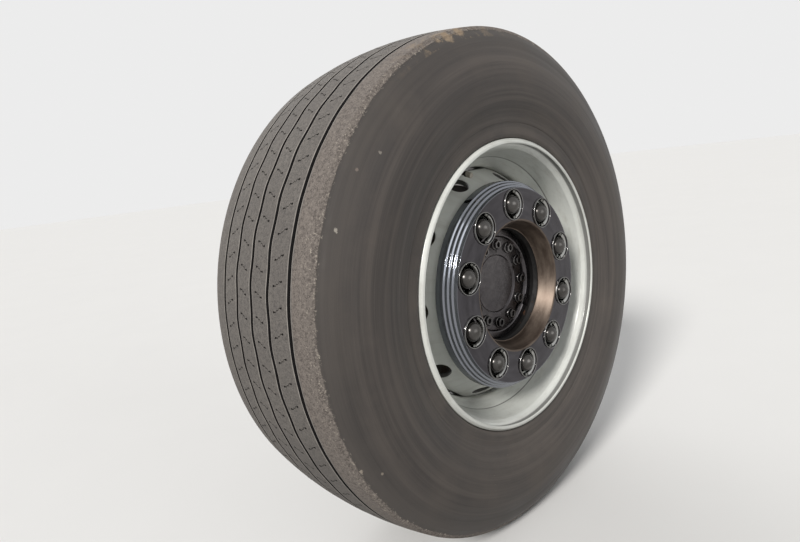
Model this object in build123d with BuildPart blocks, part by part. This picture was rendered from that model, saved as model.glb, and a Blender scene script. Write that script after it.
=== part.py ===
from build123d import *

import os
from math import cos, radians, sin, tan

os.makedirs("parts", exist_ok=True)

# Frame: +X forward, +Y outboard, +Z up, origin at the middle of the beam face, sizes in mm
wheel_out = 340.0
wheel_up = 82.0

# Rim 22.5 x 11.75 with 15 degree bead seats
rim_half = 149.2
seat_r = 285.75
flange_high = 12.7
well_deep = 29.75
rim_wall = 6.0
lip_wide = 13.8
lip_high = 16.0
lip_round = 4.0
well_round = 14.0
well_low_y = 24.0
well_high_y = 76.0
seat_long = 45.0

# Tyre 385/65 R22.5, part worn
tread_r = 524.0
tread_half = 146.0
crown_drop = 13.0
section_half = 184.0
section_drop = 110.0
tread_thick = 30.0
side_thick = 22.0
groove_pitch = 50.0
groove_edge_y = 103.0
groove_wide = 8.0
groove_floor = 5.0
groove_deep = 8.0
bead_gap = 0.3

# Wheel disc, 120 mm offset
mount_y = 120.0
disc_wall = 14.0
skirt_wall = 10.0
skirt_long = 28.0
shoulder_r = 203.0
centre_bore_r = 140.5
stud_circle_r = 167.5
stud_count = 10
stud_r = 11.0
stud_play = 2.0
stud_phase = 17.08
disc_edge_in = 18.0
disc_edge_round = 3.0
hand_hole_long = 60.0
hand_hole_wide = 50.0
hand_hole_in = 24.0
hand_phase = 35.0
vent_flat = 7.0

# Inflation valve and its counterweight
valve_angle = 71.0
valve_lean = 20.0
valve_base_r = 7.0
valve_stem_r = 4.0
valve_cap_r = 5.5
valve_stem_long = 16.0
valve_cap_long = 14.0
weight_arc = 18.0
weight_thick = 6.5

# Trim ring over the wheel nuts
trim_y = 165.0
trim_sheet = 1.6
trim_face_r = 201.0
trim_step = 5.0
trim_funnel_r = 137.0
trim_throat_r = 120.0
trim_hole_r = 29.5
trim_lip = 3.0
trim_skirt_in = 8.0
bracket_count = 5
bracket_wide = 24.0
bracket_wall = 3.0

# Wheel nuts and their caps
nut_flat_r = 16.0
nut_high = 20.0
nut_washer_r = 22.0
nut_washer = 5.0
cap_r = 24.0
cap_top_y = 176.0
cap_round = 20.0
cap_play = 0.5

# Hub
hub_flange_r = 187.0
hub_flange_wall = 16.0
hub_wall = 24.0
pilot_play = 0.2
pilot_high = 11.0
cap_seat_y = 100.0
cap_flange_r = 117.5
cap_flange_y = 110.0
cap_bolt_circle_r = 84.0
cap_bolt_count = 12
cap_bolt_phase = 4.0
cap_bolt_r = 10.0
cap_bolt_collar = 2.5
cap_disc_r = 60.0
cap_lug_angle = -148.0
cap_lug_wide = 24.0

# Bearings and spindle
inner_bearing_y = -58.0
inner_bearing_wide = 44.0
inner_spindle_r = 45.0
inner_cup_r = 70.0
outer_bearing_y = 44.0
outer_bearing_wide = 34.0
outer_spindle_r = 32.5
outer_cup_r = 60.0
running_gap = 0.05
nut_gap = 1.0
spindle_nut_wide = 12.0

# Brake
rotor_y = -50.0
rotor_wide = 45.0
rotor_cheek = 15.0
rotor_seat_r = 98.0
vane_count = 36
tooth_count = 60
caliper_angle = 154.0
caliper_gap = 8.0
bridge_wall = 14.0
bridge_gap = 3.0
bridge_window = 46.0
jaw_wide = 32.0
housing_long = 88.0
housing_round = 16.0
pad_gap = 0.8
pad_wall = 25.0
pad_half = 75.0
pad_cup_gap = 8.0
slide_play = 0.2
guide_pin_r = 11.0
guide_pin_reach = 22.0
guide_pin_side = 17.0
guide_pin_in = 52.0
pin_boss = 9.0
carrier_horn = 43.0
carrier_wall = 14.0
brake_flange_wall = 20.0
chamber_r = 76.0
chamber_in = 70.0
chamber_long = 132.0
chamber_split = 58.0
chamber_band = 14.0
chamber_step = 8.0
chamber_round = 38.0
sensor_r = 8.0
sensor_angle = 250.0
sensor_gap = 1.0

# Steering
kingpin_in = 172.0
kingpin_tilt = 5.5
kingpin_r = 25.0
bush_wall = 3.0
eye_r = 50.0
eye_half = 48.0
fork_gap = 7.0
ear_r = 50.0
ear_long = 57.0
ear_cap_wall = 6.0
web_gap = 10.0
web_thick = 36.0
knuckle_half = 46.0
arm_wide = 36.0
arm_thick = 26.0
arm_eye_r = 30.0
arm_eye_long = 40.0
arm_bore_r = 15.0
tie_arm_back = 212.0
link_arm_ahead = 190.0
arm_eye_in = 64.0
arm_root = 30.0
arm_bend = 68.0

# Axle head
beam_wide = 100.0
beam_high = 114.0
beam_web = 32.0
beam_flange = 22.0

centre = (0, wheel_out, wheel_up)
spin_axis = Axis(centre, (0, 1, 0))
radial = Plane(origin=centre, x_dir=(0, 1, 0), z_dir=(1, 0, 0))
tilt = radians(kingpin_tilt)
kingpin_point = (0, wheel_out - kingpin_in, wheel_up)
kingpin_plane = Plane(origin=kingpin_point, x_dir=(1, 0, 0), z_dir=(0, -sin(tilt), cos(tilt)))
kingpin_side = Plane(origin=kingpin_point, x_dir=(0, cos(tilt), sin(tilt)), z_dir=(1, 0, 0))
arm_plane = Plane(origin=kingpin_point, x_dir=(1, 0, 0), z_dir=(0, 0, 1))


def face(y):
    """Plane across the wheel's axis, y outboard of the wheel's middle; it faces inboard."""
    return Plane(origin=(0, wheel_out + y, wheel_up), x_dir=(1, 0, 0), z_dir=(0, -1, 0))


def turned_face(y, angle):
    """The same plane with its own Y pointing out along the radius at this angle."""
    a = radians(angle)
    return Plane(origin=(0, wheel_out + y, wheel_up), x_dir=(sin(a), 0, -cos(a)), z_dir=(0, -1, 0))


def studs():
    return PolarLocations(stud_circle_r, stud_count, start_angle=stud_phase)


# Sizes that follow from the ones above
flange_r = seat_r + flange_high
well_r = seat_r - well_deep
barrel_bore_r = well_r - rim_wall
seat_slope = tan(radians(15))
seat_end_y = rim_half - seat_long
seat_end_r = seat_r - seat_long * seat_slope
disc_face_y = mount_y + disc_wall
hub_back_y = mount_y - hub_flange_wall
skirt_bore_r = barrel_bore_r - skirt_wall
caliper_r = skirt_bore_r - caliper_gap
rotor_r = caliper_r - bridge_wall - bridge_gap
rotor_out_y = rotor_y + rotor_wide
cup_r = rotor_seat_r + hub_wall
pad_low_r = cup_r + pad_cup_gap

# Barrel: two rolled flanges, two bead seats and the well between them
lip_y = rim_half + lip_wide
lip_low_r = flange_r - lip_high
with BuildPart() as rim_barrel:
    tyre_side = [
        (lip_y, flange_r - 1.5), (rim_half + 5, flange_r), (rim_half, flange_r - 3), (rim_half, seat_r)]
    bore_side = [
        (lip_y, lip_low_r), (rim_half - 3, seat_r - rim_wall), (seat_end_y - 1, seat_end_r - rim_wall)]
    with BuildSketch(radial) as barrel_profile:
        with BuildLine():
            Polyline(
                *[(-y, r) for y, r in tyre_side],
                (-seat_end_y, seat_end_r),
                (well_low_y, well_r),
                (well_high_y, well_r),
                (seat_end_y, seat_end_r),
                *reversed(tyre_side),
                *bore_side,
                (well_high_y, barrel_bore_r),
                (well_low_y - 1, barrel_bore_r),
                *[(-y, r) for y, r in reversed(bore_side)],
                close=True)
        make_face()
        fillet(barrel_profile.vertices().group_by(Axis.Y)[0], radius=well_round + rim_wall)
        fillet(barrel_profile.vertices().filter_by(lambda v: abs(v.Y - well_r) < 0.1), radius=well_round)
        for side in (0, -1):
            lip = barrel_profile.vertices().group_by(Axis.X)[side].sort_by(Axis.Y)
            chamfer(lip[0], length=lip_round / 2)
            fillet(lip[-1], radius=lip_round)
    revolve(axis=spin_axis)
    valve_r = (barrel_bore_r + seat_end_r - rim_wall) / 2
    valve_foot_y = (well_high_y + seat_end_y) / 2 + 14
    with BuildSketch(turned_face(valve_foot_y, valve_angle)):
        with Locations((0, valve_r)):
            Circle(valve_base_r)
    extrude(amount=valve_foot_y - well_high_y - 2, mode=Mode.SUBTRACT)

# Tyre carcass: crown, shoulders, bulged sides, beads on their seats and the hollow inside
with BuildPart() as tyre:
    edge_r = tread_r - crown_drop
    bulge_r = tread_r - section_drop
    shoulder = (section_half - 15, (edge_r + bulge_r) / 2 + 6)
    side_low = (section_half - 12, (bulge_r + flange_r) / 2 - 8)
    rest = (rim_half + 8, flange_r + bead_gap)
    crown_r = (tread_half ** 2 + crown_drop ** 2) / (2 * crown_drop)
    tread = [(-tread_half, edge_r)]
    for y in (-groove_edge_y, -groove_pitch, 0, groove_pitch, groove_edge_y):
        top = tread_r - crown_r + (crown_r ** 2 - y ** 2) ** 0.5
        tread += [
            (y - groove_wide / 2, top), (y - groove_floor / 2, top - groove_deep),
            (y + groove_floor / 2, top - groove_deep), (y + groove_wide / 2, top)]
    tread.append((tread_half, edge_r))
    with BuildSketch(radial):
        with BuildLine():
            Polyline(*tread)
            for side in (-1, 1):
                ThreePointArc(
                    (side * tread_half, edge_r),
                    (side * (section_half - 25), edge_r - 18),
                    (side * shoulder[0], shoulder[1]))
                ThreePointArc(
                    (side * shoulder[0], shoulder[1]),
                    (side * section_half, bulge_r),
                    (side * side_low[0], side_low[1]))
                Polyline(
                    (side * side_low[0], side_low[1]),
                    (side * rest[0], rest[1]),
                    (side * (rim_half + 5), flange_r + bead_gap),
                    (side * (rim_half - bead_gap), flange_r - 3 + bead_gap),
                    (side * (rim_half - bead_gap), seat_r + 9),
                    (side * (rim_half - 9), seat_r - 9 * seat_slope + bead_gap),
                    (side * (seat_end_y + 6), seat_end_r + 6 * seat_slope + bead_gap),
                    (side * (seat_end_y + 8), seat_r),
                    (side * (section_half - side_thick - 4), bulge_r - 30),
                    (side * (section_half - side_thick - 4), bulge_r + 20),
                    (side * (tread_half - 30), edge_r - tread_thick + 4),
                    (0, tread_r - tread_thick))
        make_face()
    revolve(axis=spin_axis)

# Wheel disc: flat clamping ring, dished shoulder with hand holes, welded skirt
skirt_y = well_high_y - disc_edge_in
vent_long = 2 * (2 * barrel_bore_r * vent_flat) ** 0.5
with BuildPart() as rim_disc:
    with BuildSketch(radial):
        with BuildLine():
            outer_line = FilletPolyline(
                (disc_face_y, centre_bore_r),
                (disc_face_y, shoulder_r),
                (skirt_y, barrel_bore_r),
                (skirt_y - skirt_long, barrel_bore_r),
                radius=(24, disc_edge_round))
            inner_line = FilletPolyline(
                (mount_y, centre_bore_r),
                (mount_y, shoulder_r - 8),
                (skirt_y - 6, skirt_bore_r),
                (skirt_y - skirt_long, skirt_bore_r),
                radius=(14, 12))
            Line(outer_line @ 0, inner_line @ 0)
            Line(outer_line @ 1, inner_line @ 1)
        make_face()
    revolve(axis=spin_axis)
    with BuildSketch(face(disc_face_y + 1)):
        with studs():
            Circle(stud_r + stud_play)
    extrude(amount=disc_wall + 2, mode=Mode.SUBTRACT)
    slope = Vector(disc_face_y - skirt_y, barrel_bore_r - shoulder_r).normalized()
    hole_r = barrel_bore_r - hand_hole_in
    hole_y = disc_face_y - (hole_r - shoulder_r) * slope.X / slope.Y
    for k in range(stud_count):
        a = radians(hand_phase + k * 360 / stud_count)
        hole_plane = Plane(
            origin=(hole_r * cos(a), wheel_out + hole_y, wheel_up + hole_r * sin(a)),
            x_dir=(-sin(a), 0, cos(a)),
            z_dir=(slope.X * cos(a), slope.Y, slope.X * sin(a)))
        with BuildSketch(hole_plane):
            Ellipse(hand_hole_wide / 2, hand_hole_long / 2)
        extrude(amount=2 * disc_wall, both=True, mode=Mode.SUBTRACT)
    with BuildSketch(face(skirt_y + 20)):
        with PolarLocations(barrel_bore_r, stud_count, start_angle=hand_phase + 18):
            Rectangle(2 * vent_flat, vent_long)
    extrude(amount=skirt_long + 30, mode=Mode.SUBTRACT)

# Inflation valve on the slope of the well
with BuildPart() as valve_stem:
    with BuildSketch(turned_face(valve_foot_y, valve_angle)):
        with Locations((0, valve_r)):
            Circle(valve_base_r)
    extrude(amount=valve_foot_y - well_high_y - 2)
    valve_foot = turned_face(valve_foot_y - 3, valve_angle).location
    valve_axis = Plane(valve_foot * Location((0, valve_r, 0), (-valve_lean, 0, 0)))
    with BuildSketch(valve_axis):
        Circle(valve_stem_r)
    extrude(amount=-valve_stem_long)
    with BuildSketch(valve_axis.offset(-valve_stem_long)):
        Circle(valve_cap_r)
    extrude(amount=-valve_cap_long)

# Balance weight stuck under the inboard bead seat, opposite the valve
with BuildPart() as balance_weight:
    a = radians(valve_angle - 180 - weight_arc / 2)
    weight_plane = Plane(origin=centre, x_dir=(0, 1, 0), z_dir=(sin(a), 0, -cos(a)))
    seat_bore_r = seat_r - rim_wall / cos(radians(15))
    with BuildSketch(weight_plane):
        with BuildLine():
            Polyline(
                (-rim_half + 12, seat_bore_r - 12 * seat_slope - bead_gap / 3),
                (-rim_half + 32, seat_bore_r - 32 * seat_slope - bead_gap / 3),
                (-rim_half + 31, seat_bore_r - 31 * seat_slope - weight_thick),
                (-rim_half + 14, seat_bore_r - 14 * seat_slope - weight_thick),
                close=True)
        make_face()
    revolve(axis=spin_axis, revolution_arc=-weight_arc)

# Trim ring of thin sheet: funnel, flat face, three steps and a skirt
with BuildPart() as trim_ring:
    bell_y = disc_face_y - 3
    bell_points = []
    for t in range(0, 91, 15):
        bell_points.append((
            bell_y + (trim_y - bell_y) * sin(radians(t)),
            trim_funnel_r - (trim_funnel_r - trim_throat_r) * cos(radians(t))))
    step_points = []
    for step in range(3):
        step_points.append((trim_y - 7 * step - 5, trim_face_r + trim_step * step + 1))
        step_points.append((trim_y - 7 * step - 7, trim_face_r + trim_step * (step + 1)))
    with BuildSketch(radial):
        with BuildLine():
            sheet_line = Polyline(
                *bell_points, (trim_y, trim_face_r - 1), *step_points,
                (disc_face_y - trim_skirt_in, trim_face_r + 3 * trim_step))
            offset(sheet_line, amount=trim_sheet, side=Side.LEFT)
        make_face()
    revolve(axis=spin_axis)
    with BuildSketch(face(trim_y + 1)):
        with studs():
            Circle(trim_hole_r)
    extrude(amount=trim_sheet + 2, mode=Mode.SUBTRACT)
    with BuildSketch(face(trim_y)):
        with studs():
            Circle(trim_hole_r + trim_lip)
            Circle(trim_hole_r, mode=Mode.SUBTRACT)
    extrude(amount=-trim_lip)
    lip_edges = trim_ring.edges().filter_by(GeomType.CIRCLE).group_by(Axis.Y)[-1]
    chamfer(lip_edges.sort_by(SortBy.RADIUS)[-stud_count:], length=trim_lip * 0.6)

# Angle brackets that carry the trim ring off the disc, between the nuts
with BuildPart() as trim_brackets:
    bracket_phase = stud_phase + 180 / stud_count
    with BuildSketch(face(disc_face_y)):
        with PolarLocations(stud_circle_r, bracket_count, start_angle=bracket_phase):
            Rectangle(26, bracket_wide)
    extrude(amount=-bracket_wall)
    with BuildSketch(face(disc_face_y)):
        with PolarLocations(stud_circle_r + 13 - bracket_wall / 2, bracket_count, start_angle=bracket_phase):
            Rectangle(bracket_wall, bracket_wide)
    extrude(amount=disc_face_y - trim_y + trim_sheet)

# Wheel studs from the back of the hub flange, with washer and nut
with BuildPart() as wheel_studs:
    for y, radius, long in (
            (hub_back_y, stud_r + 4, 8),
            (hub_back_y, stud_r, hub_back_y - disc_face_y - nut_high - nut_washer + 2),
            (disc_face_y, nut_washer_r, -nut_washer)):
        with BuildSketch(face(y)):
            with studs():
                Circle(radius)
        extrude(amount=long)
    with BuildSketch(face(disc_face_y + nut_washer)):
        with studs():
            RegularPolygon(nut_flat_r, 6, major_radius=False)
    extrude(amount=-nut_high + nut_washer)

# Domed caps over the nuts
with BuildPart() as nut_caps:
    cap_foot_y = disc_face_y + nut_washer
    with BuildSketch(face(cap_foot_y)):
        with studs():
            Circle(cap_r)
    extrude(amount=cap_foot_y - cap_top_y)
    fillet(nut_caps.edges().group_by(Axis.Y)[-1], radius=cap_round)
    with BuildSketch(face(cap_foot_y)):
        with studs():
            Circle(nut_flat_r / cos(radians(30)) + cap_play)
    extrude(amount=-nut_high, mode=Mode.SUBTRACT)

# Hub: seal bore, disc seat, waist, wheel flange, pilot ring and recess for the cap
inner_end_y = inner_bearing_y + inner_bearing_wide
outer_end_y = outer_bearing_y + outer_bearing_wide
with BuildPart() as hub:
    with BuildSketch(radial):
        with BuildLine():
            Polyline(
                (inner_bearing_y - 8, inner_cup_r + 8),
                (inner_bearing_y - 8, rotor_seat_r - 10),
                (inner_bearing_y + 2, rotor_seat_r),
                (rotor_out_y + 9, rotor_seat_r),
                (rotor_out_y + 9, cup_r),
                (rotor_out_y + 25, cup_r),
                (rotor_out_y + 34, rotor_seat_r + 8),
                (outer_end_y - 18, outer_cup_r + hub_wall + 20),
                (hub_back_y - 8, centre_bore_r - 18),
                (hub_back_y, centre_bore_r),
                (hub_back_y, hub_flange_r - 3),
                (hub_back_y + 3, hub_flange_r),
                (mount_y, hub_flange_r),
                (mount_y, centre_bore_r - pilot_play),
                (mount_y + pilot_high - 3, centre_bore_r - pilot_play),
                (mount_y + pilot_high, centre_bore_r - 4),
                (mount_y + pilot_high, centre_bore_r - 14),
                (mount_y - 2, cap_flange_r + pilot_play),
                (cap_seat_y, cap_flange_r + pilot_play),
                (cap_seat_y, inner_cup_r),
                (outer_end_y + 2, inner_cup_r),
                (outer_end_y + 2, outer_cup_r),
                (outer_bearing_y, outer_cup_r),
                (outer_bearing_y, outer_cup_r - 6),
                (inner_end_y, inner_cup_r - 10),
                (inner_end_y, inner_cup_r),
                (inner_bearing_y - 2, inner_cup_r),
                (inner_bearing_y - 2, inner_cup_r + 8),
                close=True)
        make_face()
    revolve(axis=spin_axis)
    with BuildSketch(face(mount_y + 1)):
        with studs():
            Circle(stud_r)
    extrude(amount=hub_flange_wall + 2, mode=Mode.SUBTRACT)

# Taper bearings as closed rings that run on the spindle
with BuildPart() as wheel_bearings:
    for y, wide, bore, cup in (
            (inner_bearing_y, inner_bearing_wide, inner_spindle_r, inner_cup_r),
            (outer_bearing_y, outer_bearing_wide, outer_spindle_r, outer_cup_r)):
        with BuildSketch(face(y)):
            Circle(cup)
            Circle(bore + running_gap, mode=Mode.SUBTRACT)
        extrude(amount=-wide)

# Hub cap: raised rim, recessed bolt ring, centre disc and a spigot in the hub bore
with BuildPart() as hub_cap:
    ring_y = cap_flange_y - 5
    with BuildSketch(radial):
        with BuildLine():
            Polyline(
                (cap_seat_y - 3, 0),
                (cap_seat_y + 1.5, 0),
                (cap_seat_y + 1.5, cap_disc_r),
                (ring_y - 1, cap_disc_r + 2),
                (ring_y, cap_disc_r + 5),
                (ring_y, cap_bolt_circle_r + 15),
                (cap_flange_y - 1, cap_bolt_circle_r + 18),
                (cap_flange_y, cap_bolt_circle_r + 20),
                (cap_flange_y, cap_flange_r - 2),
                (cap_flange_y - 2, cap_flange_r),
                (cap_seat_y, cap_flange_r),
                (cap_seat_y, inner_cup_r - pilot_play),
                (cap_seat_y - 10, inner_cup_r - pilot_play),
                (cap_seat_y - 10, inner_cup_r - 6),
                (cap_seat_y - 3, inner_cup_r - 9),
                close=True)
        make_face()
    revolve(axis=spin_axis)
    with BuildSketch(turned_face(cap_flange_y, cap_lug_angle)):
        with Locations((0, cap_flange_r - 9)):
            Rectangle(cap_lug_wide, 14)
    extrude(amount=-4)

# Collared socket screws of the hub cap
with BuildPart() as hub_cap_bolts:
    for radius, high in ((cap_bolt_r + cap_bolt_collar, 3), (cap_bolt_r, 9)):
        with BuildSketch(face(ring_y)):
            with PolarLocations(cap_bolt_circle_r, cap_bolt_count, start_angle=cap_bolt_phase):
                Circle(radius)
        extrude(amount=-high)
    with BuildSketch(face(ring_y + 9)):
        with PolarLocations(cap_bolt_circle_r, cap_bolt_count, start_angle=cap_bolt_phase):
            RegularPolygon(cap_bolt_r * 0.55, 6)
    extrude(amount=5, mode=Mode.SUBTRACT)

# Ventilated brake disc: two cheeks on radial vanes, cup that seats on the hub
with BuildPart() as brake_disc:
    cheek_y = rotor_y + rotor_cheek
    with BuildSketch(radial):
        with BuildLine():
            Polyline(
                (rotor_y, rotor_r), (rotor_y, cup_r + 8), (cheek_y, cup_r + 6), (cheek_y, rotor_r),
                close=True)
        make_face()
        with BuildLine():
            Polyline(
                (rotor_out_y - rotor_cheek, rotor_r),
                (rotor_out_y - rotor_cheek, cup_r),
                (rotor_out_y - rotor_cheek - 4, rotor_seat_r),
                (rotor_out_y + 9, rotor_seat_r),
                (rotor_out_y + 9, cup_r - 4),
                (rotor_out_y, cup_r + 6),
                (rotor_out_y, rotor_r),
                close=True)
        make_face()
    revolve(axis=spin_axis)
    with BuildSketch(face(cheek_y - 0.5)):
        with PolarLocations((rotor_r + cup_r + 8) / 2, vane_count):
            Rectangle(rotor_r - cup_r - 16, 7)
    extrude(amount=-(rotor_wide - 2 * rotor_cheek + 1))

# Toothed ring for the wheel speed sensor
tone_y = inner_bearing_y - 8
tone_r = (inner_cup_r + rotor_seat_r - 2) / 2
with BuildPart() as tone_ring:
    with BuildSketch(face(tone_y)):
        Circle(tone_r + 5)
        Circle(tone_r - 5, mode=Mode.SUBTRACT)
    extrude(amount=5)
    with BuildSketch(face(tone_y - 5)):
        with PolarLocations(tone_r, tooth_count):
            Rectangle(12, 4.2)
    extrude(amount=-3, mode=Mode.SUBTRACT)

# Steering knuckle: fork round the axle eye, brake flange and stepped spindle
ear_low = eye_half + fork_gap
ear_high = ear_low + ear_long
web_in = eye_r + web_gap
web_out = web_in + web_thick
carrier_y = tone_y - 5 - 3
brake_flange_r = pad_low_r - 6
with BuildPart() as knuckle:
    with BuildSketch(kingpin_side):
        with BuildLine():
            FilletPolyline(
                (0, ear_high), (web_in - 20, ear_high), (web_out, ear_low + 8), (web_out, -ear_low - 8),
                (web_in - 20, -ear_high), (0, -ear_high), (0, -ear_low), (web_in - 8, -ear_low),
                (web_in, -ear_low + 9), (web_in, ear_low - 9), (web_in - 8, ear_low), (0, ear_low),
                radius=(14, 20, 20, 14, 0.5, 0.5, 3, 3, 3, 3, 0.5, 0.5), close=True)
        make_face()
    extrude(amount=knuckle_half, both=True)
    for low in (ear_low, -ear_high):
        with BuildSketch(kingpin_plane.offset(low)):
            Circle(ear_r)
        extrude(amount=ear_long)
    with BuildSketch(face(carrier_y - brake_flange_wall)):
        Circle(brake_flange_r)
    extrude(amount=-brake_flange_wall)
    with BuildSketch(radial):
        with BuildLine():
            Polyline(
                (carrier_y - 8, 0),
                (carrier_y - 8, inner_spindle_r + 20),
                (carrier_y, inner_spindle_r + 17),
                (inner_bearing_y - 4, inner_spindle_r + 6),
                (inner_bearing_y - 2, inner_spindle_r),
                (inner_end_y, inner_spindle_r),
                (inner_end_y + 6, inner_spindle_r - 3),
                (outer_bearing_y - 4, outer_spindle_r + 3),
                (outer_bearing_y - 1, outer_spindle_r),
                (outer_end_y - 4, outer_spindle_r),
                (outer_end_y - 2, outer_spindle_r - 2.5),
                (outer_end_y + nut_gap + spindle_nut_wide + 2, outer_spindle_r - 2.5),
                (outer_end_y + nut_gap + spindle_nut_wide + 3, outer_spindle_r - 4),
                (outer_end_y + nut_gap + spindle_nut_wide + 3, 0),
                close=True)
        make_face()
    revolve(axis=spin_axis)
    with BuildSketch(kingpin_plane.offset(-ear_high - 1)):
        Circle(kingpin_r + bush_wall)
    extrude(amount=2 * ear_high + 2, mode=Mode.SUBTRACT)
    with BuildSketch(face(carrier_y - brake_flange_wall - 10)):
        with PolarLocations(tone_r, 1, start_angle=sensor_angle):
            Circle(sensor_r)
    extrude(amount=-brake_flange_wall - 20, mode=Mode.SUBTRACT)

# Bronze bushes in both ears
with BuildPart() as kingpin_bushes:
    for low in (ear_low, -ear_high):
        with BuildSketch(kingpin_plane.offset(low)):
            Circle(kingpin_r + bush_wall)
            Circle(kingpin_r + running_gap, mode=Mode.SUBTRACT)
        extrude(amount=ear_long)

# Grease caps over the kingpin ends
with BuildPart() as kingpin_caps:
    for low in (ear_high, -ear_high - ear_cap_wall):
        with BuildSketch(kingpin_plane.offset(low)):
            Circle(ear_r - 12)
        extrude(amount=ear_cap_wall)
    chamfer(kingpin_caps.edges().filter_by(GeomType.CIRCLE).group_by(Axis.Z)[-1], length=2)

# Thrust bearing that carries the axle eye on the lower ear
with BuildPart() as thrust_bearing:
    with BuildSketch(kingpin_plane.offset(-ear_low)):
        Circle(eye_r - 8)
        Circle(kingpin_r + 1, mode=Mode.SUBTRACT)
    extrude(amount=fork_gap - slide_play)

with BuildPart() as spindle_nut:
    with BuildSketch(face(outer_end_y + nut_gap)):
        RegularPolygon(outer_spindle_r + 10, 8)
        Circle(outer_spindle_r - 2.5, mode=Mode.SUBTRACT)
    extrude(amount=-spindle_nut_wide)


def bored_arm(low, reach, bend):
    """Arm of flat section from the fork's ear to an upright bored eye, reach along X."""
    side = 1 if reach > 0 else -1
    lean = -(low + arm_thick / 2) * tan(tilt) - 4
    with BuildPart() as arm:
        with BuildSketch(arm_plane.offset(low)):
            with BuildLine() as arm_line:
                Spline(
                    (side * arm_root, lean), (reach - side * arm_bend, lean + bend), (reach, -arm_eye_in),
                    tangents=((side, 0), (side * 0.45, -1)))
            trace(arm_line.line, line_width=arm_wide)
        extrude(amount=arm_thick)
        with BuildSketch(arm_plane.offset(low + (arm_thick - arm_eye_long) / 2)):
            with Locations((reach, -arm_eye_in)):
                Circle(arm_eye_r)
        extrude(amount=arm_eye_long)
        with BuildSketch(arm_plane.offset(low + (arm_thick - arm_eye_long) / 2 - 1)):
            with Locations((reach, -arm_eye_in)):
                Circle(arm_bore_r)
        extrude(amount=arm_eye_long + 2, mode=Mode.SUBTRACT)
        with BuildSketch(kingpin_plane.offset(low - 30)):
            Circle(ear_r)
        extrude(amount=arm_thick + 60, mode=Mode.SUBTRACT)
    return arm


tie_rod_arm = bored_arm(-ear_high + 2, -tie_arm_back, 2)
steering_arm = bored_arm(ear_high - arm_thick - 4, link_arm_ahead, 0)

# Brake carrier: ring on the knuckle flange, horns beside the pads, posts over the disc edge
pad_in_y = rotor_y - pad_gap - pad_wall
pad_out_y = rotor_out_y + pad_gap
with BuildPart() as brake_carrier:
    with BuildSketch(turned_face(carrier_y, caliper_angle)):
        Circle(caliper_r - 4)
        with Locations((0, caliper_r / 2)):
            Rectangle(2 * pad_half + 2 * carrier_horn, caliper_r + 20, mode=Mode.INTERSECT)
        Circle(brake_flange_r)
        Circle(rotor_seat_r + 5, mode=Mode.SUBTRACT)
        with Locations((0, pad_low_r - slide_play + caliper_r / 2)):
            Rectangle(2 * pad_half + 2 * slide_play, caliper_r, mode=Mode.SUBTRACT)
    extrude(amount=-carrier_wall)
    post_long = pad_out_y + 24 - carrier_y - carrier_wall
    for y, bore, long in (
            (carrier_y + carrier_wall, rotor_r + bridge_gap, post_long),
            (pad_out_y + 2, pad_low_r + 20, 22)):
        with BuildSketch(turned_face(y, caliper_angle)):
            Circle(caliper_r - 4)
            Circle(bore, mode=Mode.SUBTRACT)
            with Locations((0, caliper_r / 2)):
                Rectangle(2 * pad_half + 2 * carrier_horn - 16, caliper_r + 20, mode=Mode.INTERSECT)
                Rectangle(2 * pad_half + 2 * slide_play, caliper_r + 30, mode=Mode.SUBTRACT)
        extrude(amount=-long)

# Floating caliper: outer jaw, bridge over the disc, lever housing with two ears
housing_y = pad_in_y - housing_long
with BuildPart() as brake_caliper:
    half = pad_half - 2
    with BuildSketch(turned_face(pad_out_y + pad_wall + jaw_wide, caliper_angle)):
        Circle(caliper_r)
        with Locations((0, pad_low_r + 10 + caliper_r / 2)):
            Rectangle(2 * half, caliper_r, mode=Mode.INTERSECT)
        with Locations((0, pad_low_r + 10)):
            Circle(26, mode=Mode.SUBTRACT)
    extrude(amount=jaw_wide)
    with BuildSketch(turned_face(pad_out_y + pad_wall, caliper_angle)):
        Circle(caliper_r)
        Circle(rotor_r + bridge_gap, mode=Mode.SUBTRACT)
        with Locations((0, pad_low_r + caliper_r / 2)):
            Rectangle(2 * half, caliper_r, mode=Mode.INTERSECT)
            Rectangle(bridge_window, caliper_r, mode=Mode.SUBTRACT)
    extrude(amount=pad_out_y + pad_wall - pad_in_y)
    with BuildSketch(turned_face(pad_in_y, caliper_angle)):
        Circle(caliper_r)
        with Locations((0, pad_low_r + 6 + caliper_r / 2)):
            RectangleRounded(2 * half, caliper_r, housing_round, mode=Mode.INTERSECT)
    extrude(amount=housing_long)
    fillet(brake_caliper.edges().group_by(Axis.Y)[0], radius=8)
    with BuildSketch(turned_face(pad_in_y - guide_pin_reach + 4, caliper_angle)):
        with Locations((0, caliper_r - guide_pin_in)):
            SlotCenterToCenter(2 * (pad_half + guide_pin_side), 2 * (guide_pin_r + pin_boss))
    extrude(amount=24)

# Guide pins between the carrier and the caliper's ears
with BuildPart() as caliper_pins:
    with BuildSketch(turned_face(carrier_y, caliper_angle)):
        with Locations((0, caliper_r - guide_pin_in)):
            with GridLocations(2 * (pad_half + guide_pin_side), 0, 2, 1):
                Circle(guide_pin_r)
    extrude(amount=carrier_y - pad_in_y + guide_pin_reach - 4)

# One pad on each side of the brake disc
with BuildPart() as brake_pads:
    for y in (pad_in_y + pad_wall, pad_out_y + pad_wall):
        with BuildSketch(turned_face(y, caliper_angle)):
            Circle(rotor_r - 3)
            with Locations((0, pad_low_r + caliper_r / 2)):
                Rectangle(2 * pad_half, caliper_r, mode=Mode.INTERSECT)
        extrude(amount=pad_wall)

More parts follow.
